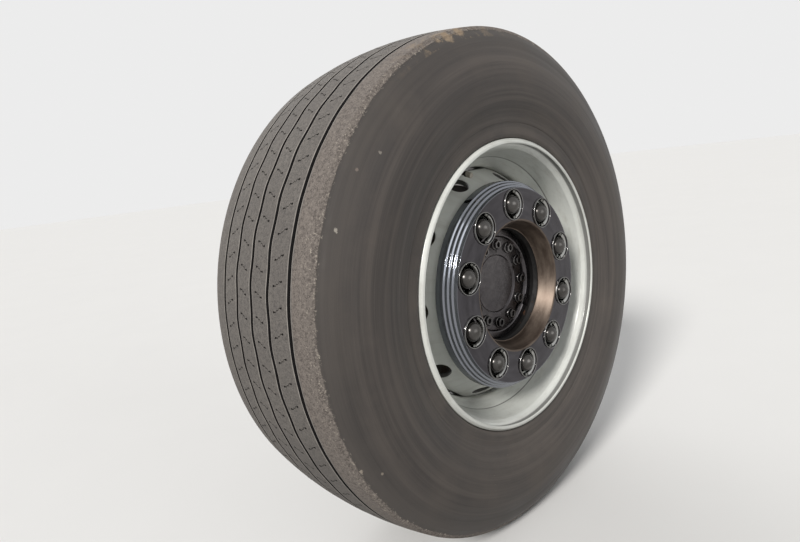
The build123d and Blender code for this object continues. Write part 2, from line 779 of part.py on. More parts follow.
# Air chamber on the caliper's back: two bowls held by a clamp band
with BuildPart() as brake_chamber:
    a = radians(caliper_angle)
    chamber_circle_r = caliper_r - chamber_in
    band_end = chamber_split + chamber_band
    chamber_point = (
        chamber_circle_r * cos(a), wheel_out + housing_y, wheel_up + chamber_circle_r * sin(a))
    chamber_side = Plane(origin=chamber_point, x_dir=(0, -1, 0), z_dir=(-sin(a), 0, cos(a)))
    with BuildSketch(chamber_side):
        with BuildLine():
            Polyline(
                (band_end, chamber_r - 5),
                (band_end, chamber_r - 5 + chamber_step),
                (chamber_split, chamber_r - 5 + chamber_step),
                (chamber_split, chamber_r - 5),
                (chamber_split - 10, chamber_r - 6),
                (chamber_split / 4, chamber_r * 0.66),
                (0, chamber_r * 0.62),
                (0, 0),
                (chamber_long, 0),
                (chamber_long, chamber_r * 0.4))
            ThreePointArc(
                (chamber_long, chamber_r * 0.4),
                (chamber_long - chamber_round * 0.35, chamber_r * 0.75),
                (chamber_long - chamber_round, chamber_r - 7))
            Line((chamber_long - chamber_round, chamber_r - 7), (band_end, chamber_r - 5))
        make_face()
    revolve(axis=Axis(chamber_point, (0, 1, 0)))

# Speed sensor in the knuckle flange, its tip just off the toothed ring
with BuildPart() as abs_sensor:
    with BuildSketch(face(tone_y - 5 - sensor_gap)):
        with PolarLocations(tone_r, 1, start_angle=sensor_angle):
            Circle(sensor_r)
    extrude(amount=brake_flange_wall + 12)

# Axle head: kingpin eye and a neck that drops to an I section at the beam face
with BuildPart() as axle_head:
    top = beam_high / 2 - wheel_up
    low = -beam_high / 2 - wheel_up
    with BuildSketch(radial):
        with BuildLine():
            FilletPolyline(
                (-wheel_out, top),
                (-kingpin_in - eye_r - 55, top),
                (-kingpin_in - eye_r - 10, 16),
                (-kingpin_in - eye_r + 10, 40),
                (-kingpin_in, 40),
                (-kingpin_in, -40),
                (-kingpin_in - eye_r - 8, -46),
                (-kingpin_in - eye_r - 50, low),
                (-wheel_out, low),
                radius=(0.5, 30, 14, 8, 0.5, 0.5, 14, 30, 0.5), close=True)
        make_face()
    extrude(amount=beam_wide / 2, both=True)
    with BuildSketch(kingpin_plane.offset(-ear_high)):
        with Locations((0, eye_r)):
            Rectangle(3 * eye_r, 2 * eye_r)
        Circle(eye_r, mode=Mode.SUBTRACT)
    extrude(amount=2 * ear_high, mode=Mode.SUBTRACT)
    with BuildSketch(kingpin_plane.offset(-eye_half)):
        Circle(eye_r)
    extrude(amount=2 * eye_half)
    with BuildSketch(kingpin_plane.offset(-eye_half - 1)):
        Circle(kingpin_r)
    extrude(amount=2 * eye_half + 2, mode=Mode.SUBTRACT)
    pocket_long = wheel_out - kingpin_in - eye_r - 55
    for side in (-1, 1):
        with BuildSketch(radial.offset(side * beam_wide / 2)):
            with Locations((-wheel_out, -wheel_up)):
                Rectangle(2 * pocket_long, beam_high - 2 * beam_flange)
        extrude(amount=-side * (beam_wide - beam_web) / 2, mode=Mode.SUBTRACT, taper=8)

# Kingpin, held in the axle eye
with BuildPart() as kingpin:
    with BuildSketch(kingpin_plane.offset(-ear_high + 1)):
        Circle(kingpin_r)
    extrude(amount=2 * ear_high - 2)

# Labels and files
tyre.part.label = "tyre"
export_step(tyre.part, "parts/tyre.step")
rim_barrel.part.label = "rim_barrel"
export_step(rim_barrel.part, "parts/rim_barrel.step")
rim_disc.part.label = "rim_disc"
export_step(rim_disc.part, "parts/rim_disc.step")
valve_stem.part.label = "valve_stem"
export_step(valve_stem.part, "parts/valve_stem.step")
balance_weight.part.label = "balance_weight"
export_step(balance_weight.part, "parts/balance_weight.step")
trim_ring.part.label = "trim_ring"
export_step(trim_ring.part, "parts/trim_ring.step")
trim_brackets.part.label = "trim_brackets"
export_step(trim_brackets.part, "parts/trim_brackets.step")
wheel_studs.part.label = "wheel_studs"
export_step(wheel_studs.part, "parts/wheel_studs.step")
nut_caps.part.label = "nut_caps"
export_step(nut_caps.part, "parts/nut_caps.step")
hub.part.label = "hub"
export_step(hub.part, "parts/hub.step")
wheel_bearings.part.label = "wheel_bearings"
export_step(wheel_bearings.part, "parts/wheel_bearings.step")
hub_cap.part.label = "hub_cap"
export_step(hub_cap.part, "parts/hub_cap.step")
hub_cap_bolts.part.label = "hub_cap_bolts"
export_step(hub_cap_bolts.part, "parts/hub_cap_bolts.step")
brake_disc.part.label = "brake_disc"
export_step(brake_disc.part, "parts/brake_disc.step")
tone_ring.part.label = "tone_ring"
export_step(tone_ring.part, "parts/tone_ring.step")
knuckle.part.label = "knuckle"
export_step(knuckle.part, "parts/knuckle.step")
kingpin_bushes.part.label = "kingpin_bushes"
export_step(kingpin_bushes.part, "parts/kingpin_bushes.step")
kingpin_caps.part.label = "kingpin_caps"
export_step(kingpin_caps.part, "parts/kingpin_caps.step")
thrust_bearing.part.label = "thrust_bearing"
export_step(thrust_bearing.part, "parts/thrust_bearing.step")
spindle_nut.part.label = "spindle_nut"
export_step(spindle_nut.part, "parts/spindle_nut.step")
tie_rod_arm.part.label = "tie_rod_arm"
export_step(tie_rod_arm.part, "parts/tie_rod_arm.step")
steering_arm.part.label = "steering_arm"
export_step(steering_arm.part, "parts/steering_arm.step")
brake_carrier.part.label = "brake_carrier"
export_step(brake_carrier.part, "parts/brake_carrier.step")
caliper_pins.part.label = "caliper_pins"
export_step(caliper_pins.part, "parts/caliper_pins.step")
brake_caliper.part.label = "brake_caliper"
export_step(brake_caliper.part, "parts/brake_caliper.step")
brake_pads.part.label = "brake_pads"
export_step(brake_pads.part, "parts/brake_pads.step")
brake_chamber.part.label = "brake_chamber"
export_step(brake_chamber.part, "parts/brake_chamber.step")
abs_sensor.part.label = "abs_sensor"
export_step(abs_sensor.part, "parts/abs_sensor.step")
axle_head.part.label = "axle_head"
export_step(axle_head.part, "parts/axle_head.step")
kingpin.part.label = "kingpin"
export_step(kingpin.part, "parts/kingpin.step")
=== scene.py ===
from math import acos, atan2, cos, hypot, pi, radians, sin, tan

import bmesh
import bpy
import numpy as np
from mathutils import Matrix, Vector, noise
from mathutils.geometry import delaunay_2d_cdt


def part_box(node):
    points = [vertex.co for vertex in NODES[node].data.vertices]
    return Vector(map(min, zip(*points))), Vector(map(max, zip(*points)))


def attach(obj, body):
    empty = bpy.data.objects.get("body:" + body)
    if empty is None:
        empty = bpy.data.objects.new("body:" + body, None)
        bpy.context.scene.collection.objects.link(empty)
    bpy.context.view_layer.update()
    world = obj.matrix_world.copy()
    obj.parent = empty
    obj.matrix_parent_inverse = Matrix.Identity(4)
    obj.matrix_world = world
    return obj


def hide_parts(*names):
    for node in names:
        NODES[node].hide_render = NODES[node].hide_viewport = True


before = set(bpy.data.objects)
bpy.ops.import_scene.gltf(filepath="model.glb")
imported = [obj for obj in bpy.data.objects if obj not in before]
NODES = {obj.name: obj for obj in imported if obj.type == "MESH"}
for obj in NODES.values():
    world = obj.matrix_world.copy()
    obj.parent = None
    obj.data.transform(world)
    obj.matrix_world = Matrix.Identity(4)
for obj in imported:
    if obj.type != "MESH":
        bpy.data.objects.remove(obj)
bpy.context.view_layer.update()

# Sizes in millimetres from the wheel's middle, with Y outboard and angles from +X towards +Z
MM = 0.001
WHEEL = np.array((0.0, 340.0, 82.0))
OUTER_R = 524.0
FLOOR_Z = (WHEEL[2] - OUTER_R) * MM

# Tyre
TREAD_R, TREAD_HALF, CROWN_DROP = 523.9, 146.0, 13.0
SECTION_HALF, BULGE_R = 183.9, 414.0
FLANGE_R, SEAT_R = 298.45, 285.75
# Each groove: y, width and height of its wave
GROOVES = ((-103.0, 7.8, 0.3), (-50.0, 7.4, 1.3), (0.0, 7.4, 1.4), (50.0, 7.4, 1.3), (103.0, 7.8, 0.3))
GROOVE_DEEP = 8.0
SIPES_ROUND = 80
TYRE_SEGMENTS = 600
SIDE, TREAD, GROOVE, GROOVE_EDGE, SHOULDER_EDGE, LINER = range(6)

# Wheel disc with its hand holes
DISC_TOP, DISC_FOOT = (134.0, 203.0), (58.0, 250.0)
DISC_FALL = (DISC_TOP[0] - DISC_FOOT[0]) / (DISC_FOOT[1] - DISC_TOP[1])
HAND_HOLE_R, HAND_HOLE_PHASE = 226.0, 35.0
# Half the width and half the height of the cut in the disc, then the round mouth that shows
CUT_HALF = (25.2, 30.2)
MOUTH_R, MOUTH_DOWN = 21.0, 8.5

# Studs and trim ring
STUD_CIRCLE, STUD_PHASE, STUDS = 167.5, 17.08, 10
STUD_STEP = 360 / STUDS
TRIM_Y, TRIM_EDGE, TRIM_INNER, TRIM_THROAT = 165.0, 200.6, 137.5, 120.0
TRIM_SEAM, TRIM_WALL = 0.5, 1.2
HOLE_R, LIP_R, CUP_R = 29.5, 32.4, 25.2
RING_POINTS = 360
HOLE_POINTS = 72
CAP_Y, DOME_R = 139.0, 20.0

# Hub cap's screws
HUB_SCREWS, HUB_SCREW_CIRCLE, HUB_SCREW_PHASE, HUB_SCREW_Y = 12, 84, 4, 105.0

# Kingpin, brake flange and brake chamber
PIN_INBOARD, PIN_LEAN, PIN_CAP_HIGH, PIN_SCREW_CIRCLE = 172.0, 5.5, 118.0, 28
FLANGE_WALL, FLANGE_SCREW_CIRCLE = 20.0, 112
FLANGE_SCREW_DEGREES = (16, 46, 134, 164, 196, 226, 314, 344)
CLAMP_DEGREES, CLAMP_Y = (64, 244), 67.0
PORT_X = (-15, 15)


# Shapes
def disc_y(radius):
    """Place along Y of the disc's cone."""
    return DISC_TOP[0] - (radius - DISC_TOP[1]) * DISC_FALL


def new_object(name, points, faces, smooth_angle):
    """Mesh object from points in millimetres in the wheel's frame."""
    mesh = bpy.data.meshes.new(name)
    co = (np.asarray(points, float) + WHEEL) * MM
    mesh.from_pydata([tuple(p) for p in co], [], [tuple(int(v) for v in f) for f in faces])
    mesh.validate()
    obj = bpy.data.objects.new(name, mesh)
    bpy.context.scene.collection.objects.link(obj)
    shade(obj, smooth_angle)
    return obj


def shade(obj, smooth_angle):
    """Smooth shading, with edges sharper than smooth_angle degrees kept sharp."""
    obj.data.polygons.foreach_set("use_smooth", [True] * len(obj.data.polygons))
    obj.data.set_sharp_from_angle(angle=radians(smooth_angle))


def attribute(obj, name, values):
    """Value for each point, for the material to read."""
    layer = obj.data.attributes.new(name, "FLOAT", "POINT")
    layer.data.foreach_set("value", np.asarray(values, np.float32))


def spun(profile, segments, shift=None):
    """Closed (y, r) profile turned round the wheel's axis; shift(angles, y, r) gives its moves in y and r."""
    profile = np.asarray(profile, float)
    count = len(profile)
    angles = np.arange(segments) * 2 * pi / segments
    y = np.repeat(profile[None, :, 0], segments, 0)
    r = np.repeat(profile[None, :, 1], segments, 0)
    if shift is not None:
        dy, dr = shift(angles[:, None], y, r)
        y, r = y + dy, r + dr
    points = np.stack((r * np.cos(angles)[:, None], y, r * np.sin(angles)[:, None]), -1).reshape(-1, 3)
    area = 0.5 * np.sum(profile[:, 0] * np.roll(profile[:, 1], -1) - np.roll(profile[:, 0], -1) * profile[:, 1])
    faces = []
    for i in range(segments):
        a, b = i * count, (i + 1) % segments * count
        for j in range(count):
            k = (j + 1) % count
            quad = (a + j, a + k, b + k, b + j)
            faces.append(quad if area < 0 else quad[::-1])
    return points, faces


def arc3(a, b, c, count):
    """count + 1 points on the circle through a, b and c."""
    a, b, c = (complex(*p) for p in (a, b, c))
    w = (c - a) / (b - a)
    centre = (b - a) * (w - abs(w) ** 2) / (2j * w.imag) + a
    first, mid, last = (atan2((p - centre).imag, (p - centre).real) for p in (a, b, c))
    turn = (last - first) % (2 * pi)
    if (mid - first) % (2 * pi) > turn:
        turn -= 2 * pi
    radius = abs(a - centre)
    return [
        (centre.real + radius * cos(first + turn * i / count),
         centre.imag + radius * sin(first + turn * i / count)) for i in range(count + 1)]


def rounded(points, radii, count, closed=False):
    """Polyline with its corners rounded by arcs of count steps; a radius of 0 leaves a corner sharp."""
    nearly_straight, longest_cut = radians(89.5), 0.49
    out = []
    total = len(points)
    for i, (p, radius) in enumerate(zip(points, radii)):
        p = np.array(p, float)
        if (not closed and i in (0, total - 1)) or radius <= 0:
            out.append(tuple(p))
            continue
        before = np.array(points[i - 1], float) - p
        after = np.array(points[(i + 1) % total], float) - p
        u, v = before / np.linalg.norm(before), after / np.linalg.norm(after)
        half = acos(max(-1, min(1, float(u @ v)))) / 2
        if half > nearly_straight:
            out.append(tuple(p))
            continue
        cut = min(radius / tan(half), longest_cut * np.linalg.norm(before), longest_cut * np.linalg.norm(after))
        start, end = p + u * cut, p + v * cut
        middle = p + (u + v) / np.linalg.norm(u + v) * cut * (1 / cos(half) - tan(half))
        out.extend(arc3(start, middle, end, count))
    return out


def on_circle(radius, angle):
    """X and Z at a radius and an angle in radians."""
    return radius * cos(angle), radius * sin(angle)


def ring(radius, count, centre=(0.0, 0.0)):
    """X and Z of count points round a circle."""
    places = (on_circle(radius, 2 * pi * i / count) for i in range(count))
    return [(centre[0] + x, centre[1] + z) for x, z in places]


def join_rows(rows):
    """Points and quads between rows of equal length that run round a circle."""
    count = len(rows[0])
    faces = []
    for i in range(len(rows) - 1):
        for j in range(count):
            k = (j + 1) % count
            faces.append((i * count + j, i * count + k, (i + 1) * count + k, (i + 1) * count + j))
    return [p for row in rows for p in row], faces


def turned(profile, count, centre=(0.0, 0.0), y=0.0, across=None):
    """Closed shape of (radius, height) turned round an axis along Y; across(angle, radius) gives the section."""
    rows = []
    for radius, height in profile:
        row = []
        for i in range(count):
            a = 2 * pi * i / count
            x, z = on_circle(radius if across is None else across(a, radius), a)
            row.append((centre[0] + x, y + height, centre[1] + z))
        rows.append(row)
    points, faces = join_rows(rows)
    faces = [f[::-1] for f in faces]
    last = len(points) - count
    faces.append(tuple(range(count)))
    faces.append(tuple(last + count - 1 - i for i in range(count)))
    return points, faces


def placed(shape, foot, axis):
    """A shape turned round +Y at the wheel's middle, moved so that it stands on foot along axis."""
    turn = Vector((0, 1, 0)).rotation_difference(Vector(axis)).to_matrix()
    points, faces = shape
    return [tuple(turn @ Vector(p) + Vector(foot)) for p in points], faces


def hex_across(radius_in, round_out):
    """Section that is a hexagon between the two radii and round outside them."""
    slack, flat_share = 0.05, 0.9

    def across(a, radius):
        if radius > radius_in + slack or radius < round_out:
            return radius
        flat = flat_share * radius_in / cos((a + pi / 6) % (pi / 3) - pi / 6)
        return flat * min(1.0, radius / radius_in)
    return across


def hex_screw(size):
    """Washer, hexagon head with a turned top and a shallow dish; size is the head's radius."""
    profile = [(1.35, 0.0), (1.35, 0.16), (1.05, 0.2), (1.0, 0.2), (1.0, 0.8), (0.86, 0.9), (0.4, 0.86), (0.05, 0.84)]
    radii = (0, 0.06, 0, 0, 0.05, 0.04, 0, 0)
    profile = rounded([(r * size, h * size) for r, h in profile], [r * size for r in radii], 2)
    return turned(profile, 36, across=hex_across(size, 0.7 * size))


def build_many(name, shapes, smooth_angle, graph, body, node=None):
    """One object out of several (points, faces) shapes."""
    points, faces = [], []
    for shape_points, shape_faces in shapes:
        first = len(points)
        points.extend(shape_points)
        faces.extend(tuple(v + first for v in f) for f in shape_faces)
    obj = new_object(name, points, faces, smooth_angle)
    mesh = bmesh.new()
    mesh.from_mesh(obj.data)
    bmesh.ops.recalc_face_normals(mesh, faces=mesh.faces)
    mesh.to_mesh(obj.data)
    mesh.free()
    shade(obj, smooth_angle)
    obj.data.materials.append(graph.material)
    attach(obj, body)
    if node:
        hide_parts(node)


def node_box(name):
    """Lowest and highest corner of a CAD node in the wheel's frame, in millimetres."""
    return [np.array(corner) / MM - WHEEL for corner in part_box(name)]


# Material nodes
class Graph:
    """A node material with short calls for the nodes used here."""

    def __init__(self, name, **values):
        self.material = bpy.data.materials.new(name)
        self.material.use_nodes = True
        self.tree = self.material.node_tree
        self.shader = self.tree.nodes["Principled BSDF"]
        self._place = None
        for socket, value in values.items():
            self.shader.inputs[socket.replace("_", " ")].default_value = value

    def put(self, socket, value):
        if isinstance(value, bpy.types.NodeSocket):
            self.tree.links.new(value, socket)
        elif hasattr(value, "__len__") and len(value) == 3 and socket.type == "RGBA":
            socket.default_value = (*value, 1)
        else:
            socket.default_value = value

    def node(self, kind, **settings):
        node = self.tree.nodes.new("ShaderNode" + kind)
        for key, value in settings.items():
            setattr(node, key, value)
        return node

    def set(self, socket, value):
        self.put(self.shader.inputs[socket], value)

    def math(self, operation, a, b=0.0, clamp=False):
        node = self.node("Math", operation=operation, use_clamp=clamp)
        self.put(node.inputs[0], a)
        self.put(node.inputs[1], b)
        return node.outputs[0]

    def times(self, a, b, clamp=False):
        return self.math("MULTIPLY", a, b, clamp)

    def plus(self, a, b, clamp=False):
        return self.math("ADD", a, b, clamp)

    def minus(self, a, b, clamp=False):
        return self.math("SUBTRACT", a, b, clamp)

    def place(self):
        """Position from the wheel's middle, in metres."""
        if self._place is None:
            node = self.node("VectorMath", operation="SUBTRACT")
            self.put(node.inputs[0], self.node("TexCoord").outputs["Object"])
            node.inputs[1].default_value = WHEEL * MM
            self._place = node.outputs[0]
        return self._place

    def parts(self):
        """X, Y and Z of the position, then its distance from the wheel's axis, in metres."""
        node = self.node("SeparateXYZ")
        self.put(node.inputs[0], self.place())
        x, y, z = node.outputs
        return x, y, z, self.math("SQRT", self.plus(self.times(x, x), self.times(z, z)))

    def around(self, turn_scale, radius_scale, axial_scale):
        """Vector for streaks that run round the wheel with no seam."""
        x, y, z, radius = self.parts()
        node = self.node("CombineXYZ")
        for socket, value in zip(node.inputs, (
                self.times(self.math("DIVIDE", x, radius), turn_scale),
                self.plus(self.times(radius, radius_scale), self.times(y, axial_scale)),
                self.times(self.math("DIVIDE", z, radius), turn_scale))):
            self.put(socket, value)
        return node.outputs[0]

    def noise(self, scale, detail=4.0, roughness=0.55, vector=None):
        """Noise from 0 to 1, of which most lies within MOST."""
        node = self.node("TexNoise")
        self.put(node.inputs["Vector"], self.place() if vector is None else vector)
        for socket, value in (("Scale", scale), ("Detail", detail), ("Roughness", roughness)):
            node.inputs[socket].default_value = value
        return node.outputs[0]

    def streaks(self, detail, roughness, scales):
        """Noise that runs round the wheel; its scales are round the wheel, outwards and along Y."""
        return self.noise(1.0, detail, roughness, self.around(*scales))

    def cells(self, scale):
        node = self.node("TexVoronoi")
        self.put(node.inputs["Vector"], self.place())
        node.inputs["Scale"].default_value = scale
        return node.outputs[0]

    def spread(self, value, low, high, to_low=0.0, to_high=1.0):
        """Value mapped from low..high to to_low..to_high and held between them."""
        node = self.node("MapRange")
        for socket, item in zip(node.inputs, (value, low, high, to_low, to_high)):
            self.put(socket, item)
        return node.outputs[0]

    def step(self, value, low, high, *to):
        """Spread between two places or lengths in millimetres."""
        return self.spread(value, low * MM, high * MM, *to)

    def mix(self, factor, a, b):
        node = self.node("Mix", data_type="RGBA")
        self.put(node.inputs[0], factor)
        self.put(node.inputs[6], a)
        self.put(node.inputs[7], b)
        return node.outputs[2]

    def over(self, base, mask, share, tint):
        """Base with a share of tint over it where mask is 1."""
        return self.mix(self.times(mask, share), base, tint)

    def attribute(self, name):
        return self.node("Attribute", attribute_name=name).outputs["Fac"]

    def bump(self, height, distance, normal=None):
        """Relief of a distance in millimetres."""
        node = self.node("Bump")
        node.inputs["Strength"].default_value = 1.0
        node.inputs["Distance"].default_value = distance * MM
        self.put(node.inputs["Height"], height)
        if normal is not None:
            self.put(node.inputs["Normal"], normal)
        return node.outputs[0]

    def near(self, point, reach):
        """1 at a point of the wheel's frame, in millimetres, falling to 0 at reach."""
        node = self.node("VectorMath", operation="DISTANCE")
        self.put(node.inputs[0], self.place())
        node.inputs[1].default_value = Vector(point) * MM
        return self.step(node.outputs["Value"], 0, reach, 1.0, 0.0)


def rgb(red, green, blue):
    """Linear colour from screen values of 0 to 255."""
    return tuple((c / 255 / 12.92) if c < 10.3 else ((c / 255 + 0.055) / 1.055) ** 2.4 for c in (red, green, blue))


# Materials
MOST = (0.3, 0.7)
# Each spot on the tyre: place and size in millimetres, and colour
SPOTS = (
    ((449, 163, 186), 9, rgb(172, 166, 156)), ((351, 174, 293), 8, rgb(140, 134, 126)),
    ((395, 166, 271), 8, rgb(128, 116, 108)), ((458, 154, -202), 9, rgb(164, 154, 142)),
    ((425, 166, -217), 8, rgb(150, 140, 128)))


def rubber():
    """Worn rubber: dusty side, scuffed ribs, grooves painted near black as painted shade, with painted highlights
    along their edges.
    """
    border, border_wave, last_rib, low_r = TREAD_HALF + 4.2, 4.0, GROOVES[-1][0] + 4, 488
    g = Graph("tyre_rubber", Specular_IOR_Level=0.3)
    _, y, _, radius = g.parts()
    streaks = g.streaks(6, 0.6, (2.2, 260, 120))
    rings = g.streaks(3, 0.6, (0.6, 700, 500))
    bands = g.streaks(3, 0.5, (0.9, 60, 50))
    dust = g.noise(7, 6, 0.6)
    fine = g.noise(420, 4, 0.65)
    grit = g.noise(160, 5, 0.7)
    limit = g.plus(border * MM, g.times(g.noise(16, 5, 0.6), border_wave * MM))
    inside = g.minus(limit, g.math("ABSOLUTE", y))
    tread = g.times(g.step(inside, -0.4, 0.6), g.step(radius, low_r, low_r + 4))

    side = g.mix(g.spread(streaks, *MOST), rgb(61, 57, 55), rgb(75, 70, 67))
    side = g.mix(g.spread(rings, 0.45, 0.75, 0, 0.25), side, rgb(98, 91, 86))
    side = g.mix(g.spread(bands, 0.46, 0.66, 0, 0.4), side, rgb(98, 91, 86))
    side = g.mix(g.spread(bands, 0.46, 0.3, 0, 0.4), side, rgb(54, 51, 50))
    side = g.mix(g.spread(dust, 0.45, 0.75, 0, 0.5), side, rgb(98, 91, 85))
    side = g.over(side, g.step(radius, 440, low_r), 0.5, rgb(66, 63, 61))
    bead_dust = g.times(g.step(radius, 345, 305), g.spread(g.noise(20), 0.35, 0.7), True)
    side = g.over(side, bead_dust, 0.3, rgb(104, 97, 90))

    rib = g.mix(g.spread(grit, 0.38, 0.62), rgb(76, 73, 71), rgb(106, 102, 98))
    rib = g.mix(g.spread(fine, 0.46, 0.6, 0, 0.55), rib, rgb(124, 119, 114))
    rib = g.mix(g.spread(dust, 0.4, 0.7, 0, 0.4), rib, rgb(86, 82, 80))
    outer = g.mix(g.spread(grit, 0.4, 0.6), rgb(80, 74, 71), rgb(114, 107, 102))
    outer = g.mix(g.spread(fine, 0.46, 0.6, 0, 0.6), outer, rgb(132, 124, 117))
    scarred = g.times(g.step(inside, 36, 0, 0.15, 1.0), g.spread(dust, 0.4, 0.62, 0.3, 1.0))
    scars = g.times(g.spread(g.noise(230, 4, 0.7), 0.58, 0.64), scarred)
    outer = g.over(outer, scars, 0.8, rgb(184, 175, 163))
    pits = g.times(g.spread(g.noise(260, 3, 0.6), 0.42, 0.37), scarred)
    outer = g.over(outer, pits, 0.6, rgb(52, 48, 46))
    top = g.mix(g.step(y, last_rib, last_rib + 5), rib, outer)
    scuff = g.plus(grit, g.times(fine, 0.6))
    ragged = g.times(g.step(inside, 4.5, 0), g.spread(scuff, 0.78, 0.92), True)
    top = g.over(top, ragged, 0.3, rgb(156, 147, 138))

    colour = g.mix(tread, side, top)
    flecks = g.step(g.math("ABSOLUTE", inside), 2.2, 0)
    flecks = g.times(flecks, g.spread(g.noise(170, 4, 0.7), 0.57, 0.64))
    flecks = g.times(flecks, g.step(radius, low_r - 2, low_r + 2))
    colour = g.over(colour, flecks, 0.7, rgb(188, 179, 166))
    # Painted highlight: a light line along the edges of the grooves.
    groove_edge_highlight = g.times(g.attribute("edge"), g.spread(g.noise(60, 3), 0.3, 0.6, 0.35, 1.0))
    colour = g.over(colour, groove_edge_highlight, 0.8, rgb(168, 162, 156))
    # Painted shade: the grooves' walls and floors are painted near black.
    colour = g.mix(g.attribute("groove"), colour, rgb(6, 6, 6))
    mud = g.times(g.spread(g.noise(34, 6, 0.7), 0.5, 0.6), g.attribute("mud"))
    colour = g.over(colour, mud, 0.8, rgb(150, 132, 110))
    chips = g.times(g.spread(g.cells(38), 0.035, 0.022), g.spread(g.noise(4.2, 2), 0.56, 0.6))
    colour = g.over(colour, chips, 0.6, rgb(140, 132, 122))
    for point, size, tint in SPOTS:
        spot = g.spread(g.plus(g.near(point, size), g.times(grit, 1.6)), 1.42, 1.56)
        colour = g.over(colour, spot, 0.7, tint)
    g.set("Base Color", colour)
    g.set("Roughness", g.mix(tread, g.spread(dust, *MOST, 0.46, 0.62), g.spread(grit, *MOST, 0.7, 0.88)))
    height = g.plus(g.times(fine, 0.5), grit)
    zone = g.plus(g.times(tread, 0.85), 0.15)
    g.set("Normal", g.bump(g.times(height, zone), 1.1))
    return g


def sipe_painted_shade():
    """Near black: painted shade that stands for the shade inside the slits."""
    g = Graph("tyre_sipes", Roughness=0.95, Specular_IOR_Level=0.1)
    g.set("Base Color", g.mix(g.noise(300), rgb(14, 13, 13), rgb(24, 23, 22)))
    return g


def silver_paint():
    """Silver wheel paint with road film, stains, brake dust, dark joints, a darker line along the seat's corner,
    painted shade on the hand holes' walls and painted shade in the lip's hollow.
    """
    seat_corner, seat_low = 103, 262
    top_r, (foot_y, foot_r) = DISC_TOP[1], DISC_FOOT
    hollow_back, hollow_front, hollow_top = 154.8, 167.5, 292.5
    g = Graph("wheel_paint", Coat_Weight=0.3, Coat_Roughness=0.12, Specular_IOR_Level=0.5)
    _, y, _, radius = g.parts()
    film = g.noise(9, 7, 0.62)
    fine = g.noise(900, 2)
    stain = g.streaks(6, 0.65, (6, 90, 60))
    colour = g.mix(g.spread(film, 0.35, 0.7), rgb(216, 218, 213), rgb(200, 202, 197))
    colour = g.mix(g.spread(stain, 0.5, 0.72, 0, 0.5), colour, rgb(172, 170, 162))
    grime = g.times(g.step(y, 105, 60), g.spread(g.noise(26, 6, 0.7), 0.35, 0.65))
    colour = g.over(colour, grime, 0.3, rgb(166, 162, 152))
    # A darker line along the seat's corner.
    seat_corner_line = g.step(g.math("ABSOLUTE", g.minus(y, seat_corner * MM)), 1.6, 0.6)
    seat_corner_line = g.times(seat_corner_line, g.step(radius, seat_low, seat_low + 2))
    colour = g.over(colour, seat_corner_line, 0.7, rgb(58, 56, 52))
    joint = g.times(g.step(y, foot_y + 2.5, foot_y), g.step(radius, foot_r - 3.5, foot_r - 1.5), True)
    colour = g.over(colour, joint, 0.6, rgb(60, 56, 50))
    dirty = g.mix(g.noise(30, 6, 0.7), rgb(62, 57, 52), rgb(104, 96, 86))
    colour = g.over(colour, g.step(y, 20, -30), 0.8, dirty)
    # Painted shade on the walls of the hand holes, below the cone's surface.
    surface = g.minus(disc_y(0) * MM, g.times(radius, DISC_FALL))
    cone = g.times(g.step(radius, top_r + 2, top_r + 4), g.step(radius, foot_r - 3.5, foot_r - 4.5))
    hole_wall_shade = g.times(g.step(g.minus(surface, y), 1.0, 3.5), cone)
    colour = g.over(colour, hole_wall_shade, 0.85, rgb(48, 45, 42))
    # Painted shade in the hollow under the rolled lip.
    lip_hollow_shade = g.times(g.step(y, hollow_back, hollow_back + 1.7), g.step(y, hollow_front, hollow_front - 2))
    lip_hollow_shade = g.times(lip_hollow_shade, g.step(radius, hollow_top, hollow_top - 1))
    colour = g.over(colour, lip_hollow_shade, 0.8, rgb(96, 95, 94))
    specks = g.times(g.spread(g.cells(120), 0.07, 0.04), g.spread(g.noise(15), 0.5, 0.6))
    colour = g.over(colour, specks, 0.6, rgb(92, 86, 78))
    g.set("Base Color", colour)
    g.set("Metallic", 0.15)
    g.set("Roughness", g.spread(film, *MOST, 0.28, 0.42))
    g.set("Normal", g.bump(fine, 0.05, g.bump(film, 0.4)))
    return g


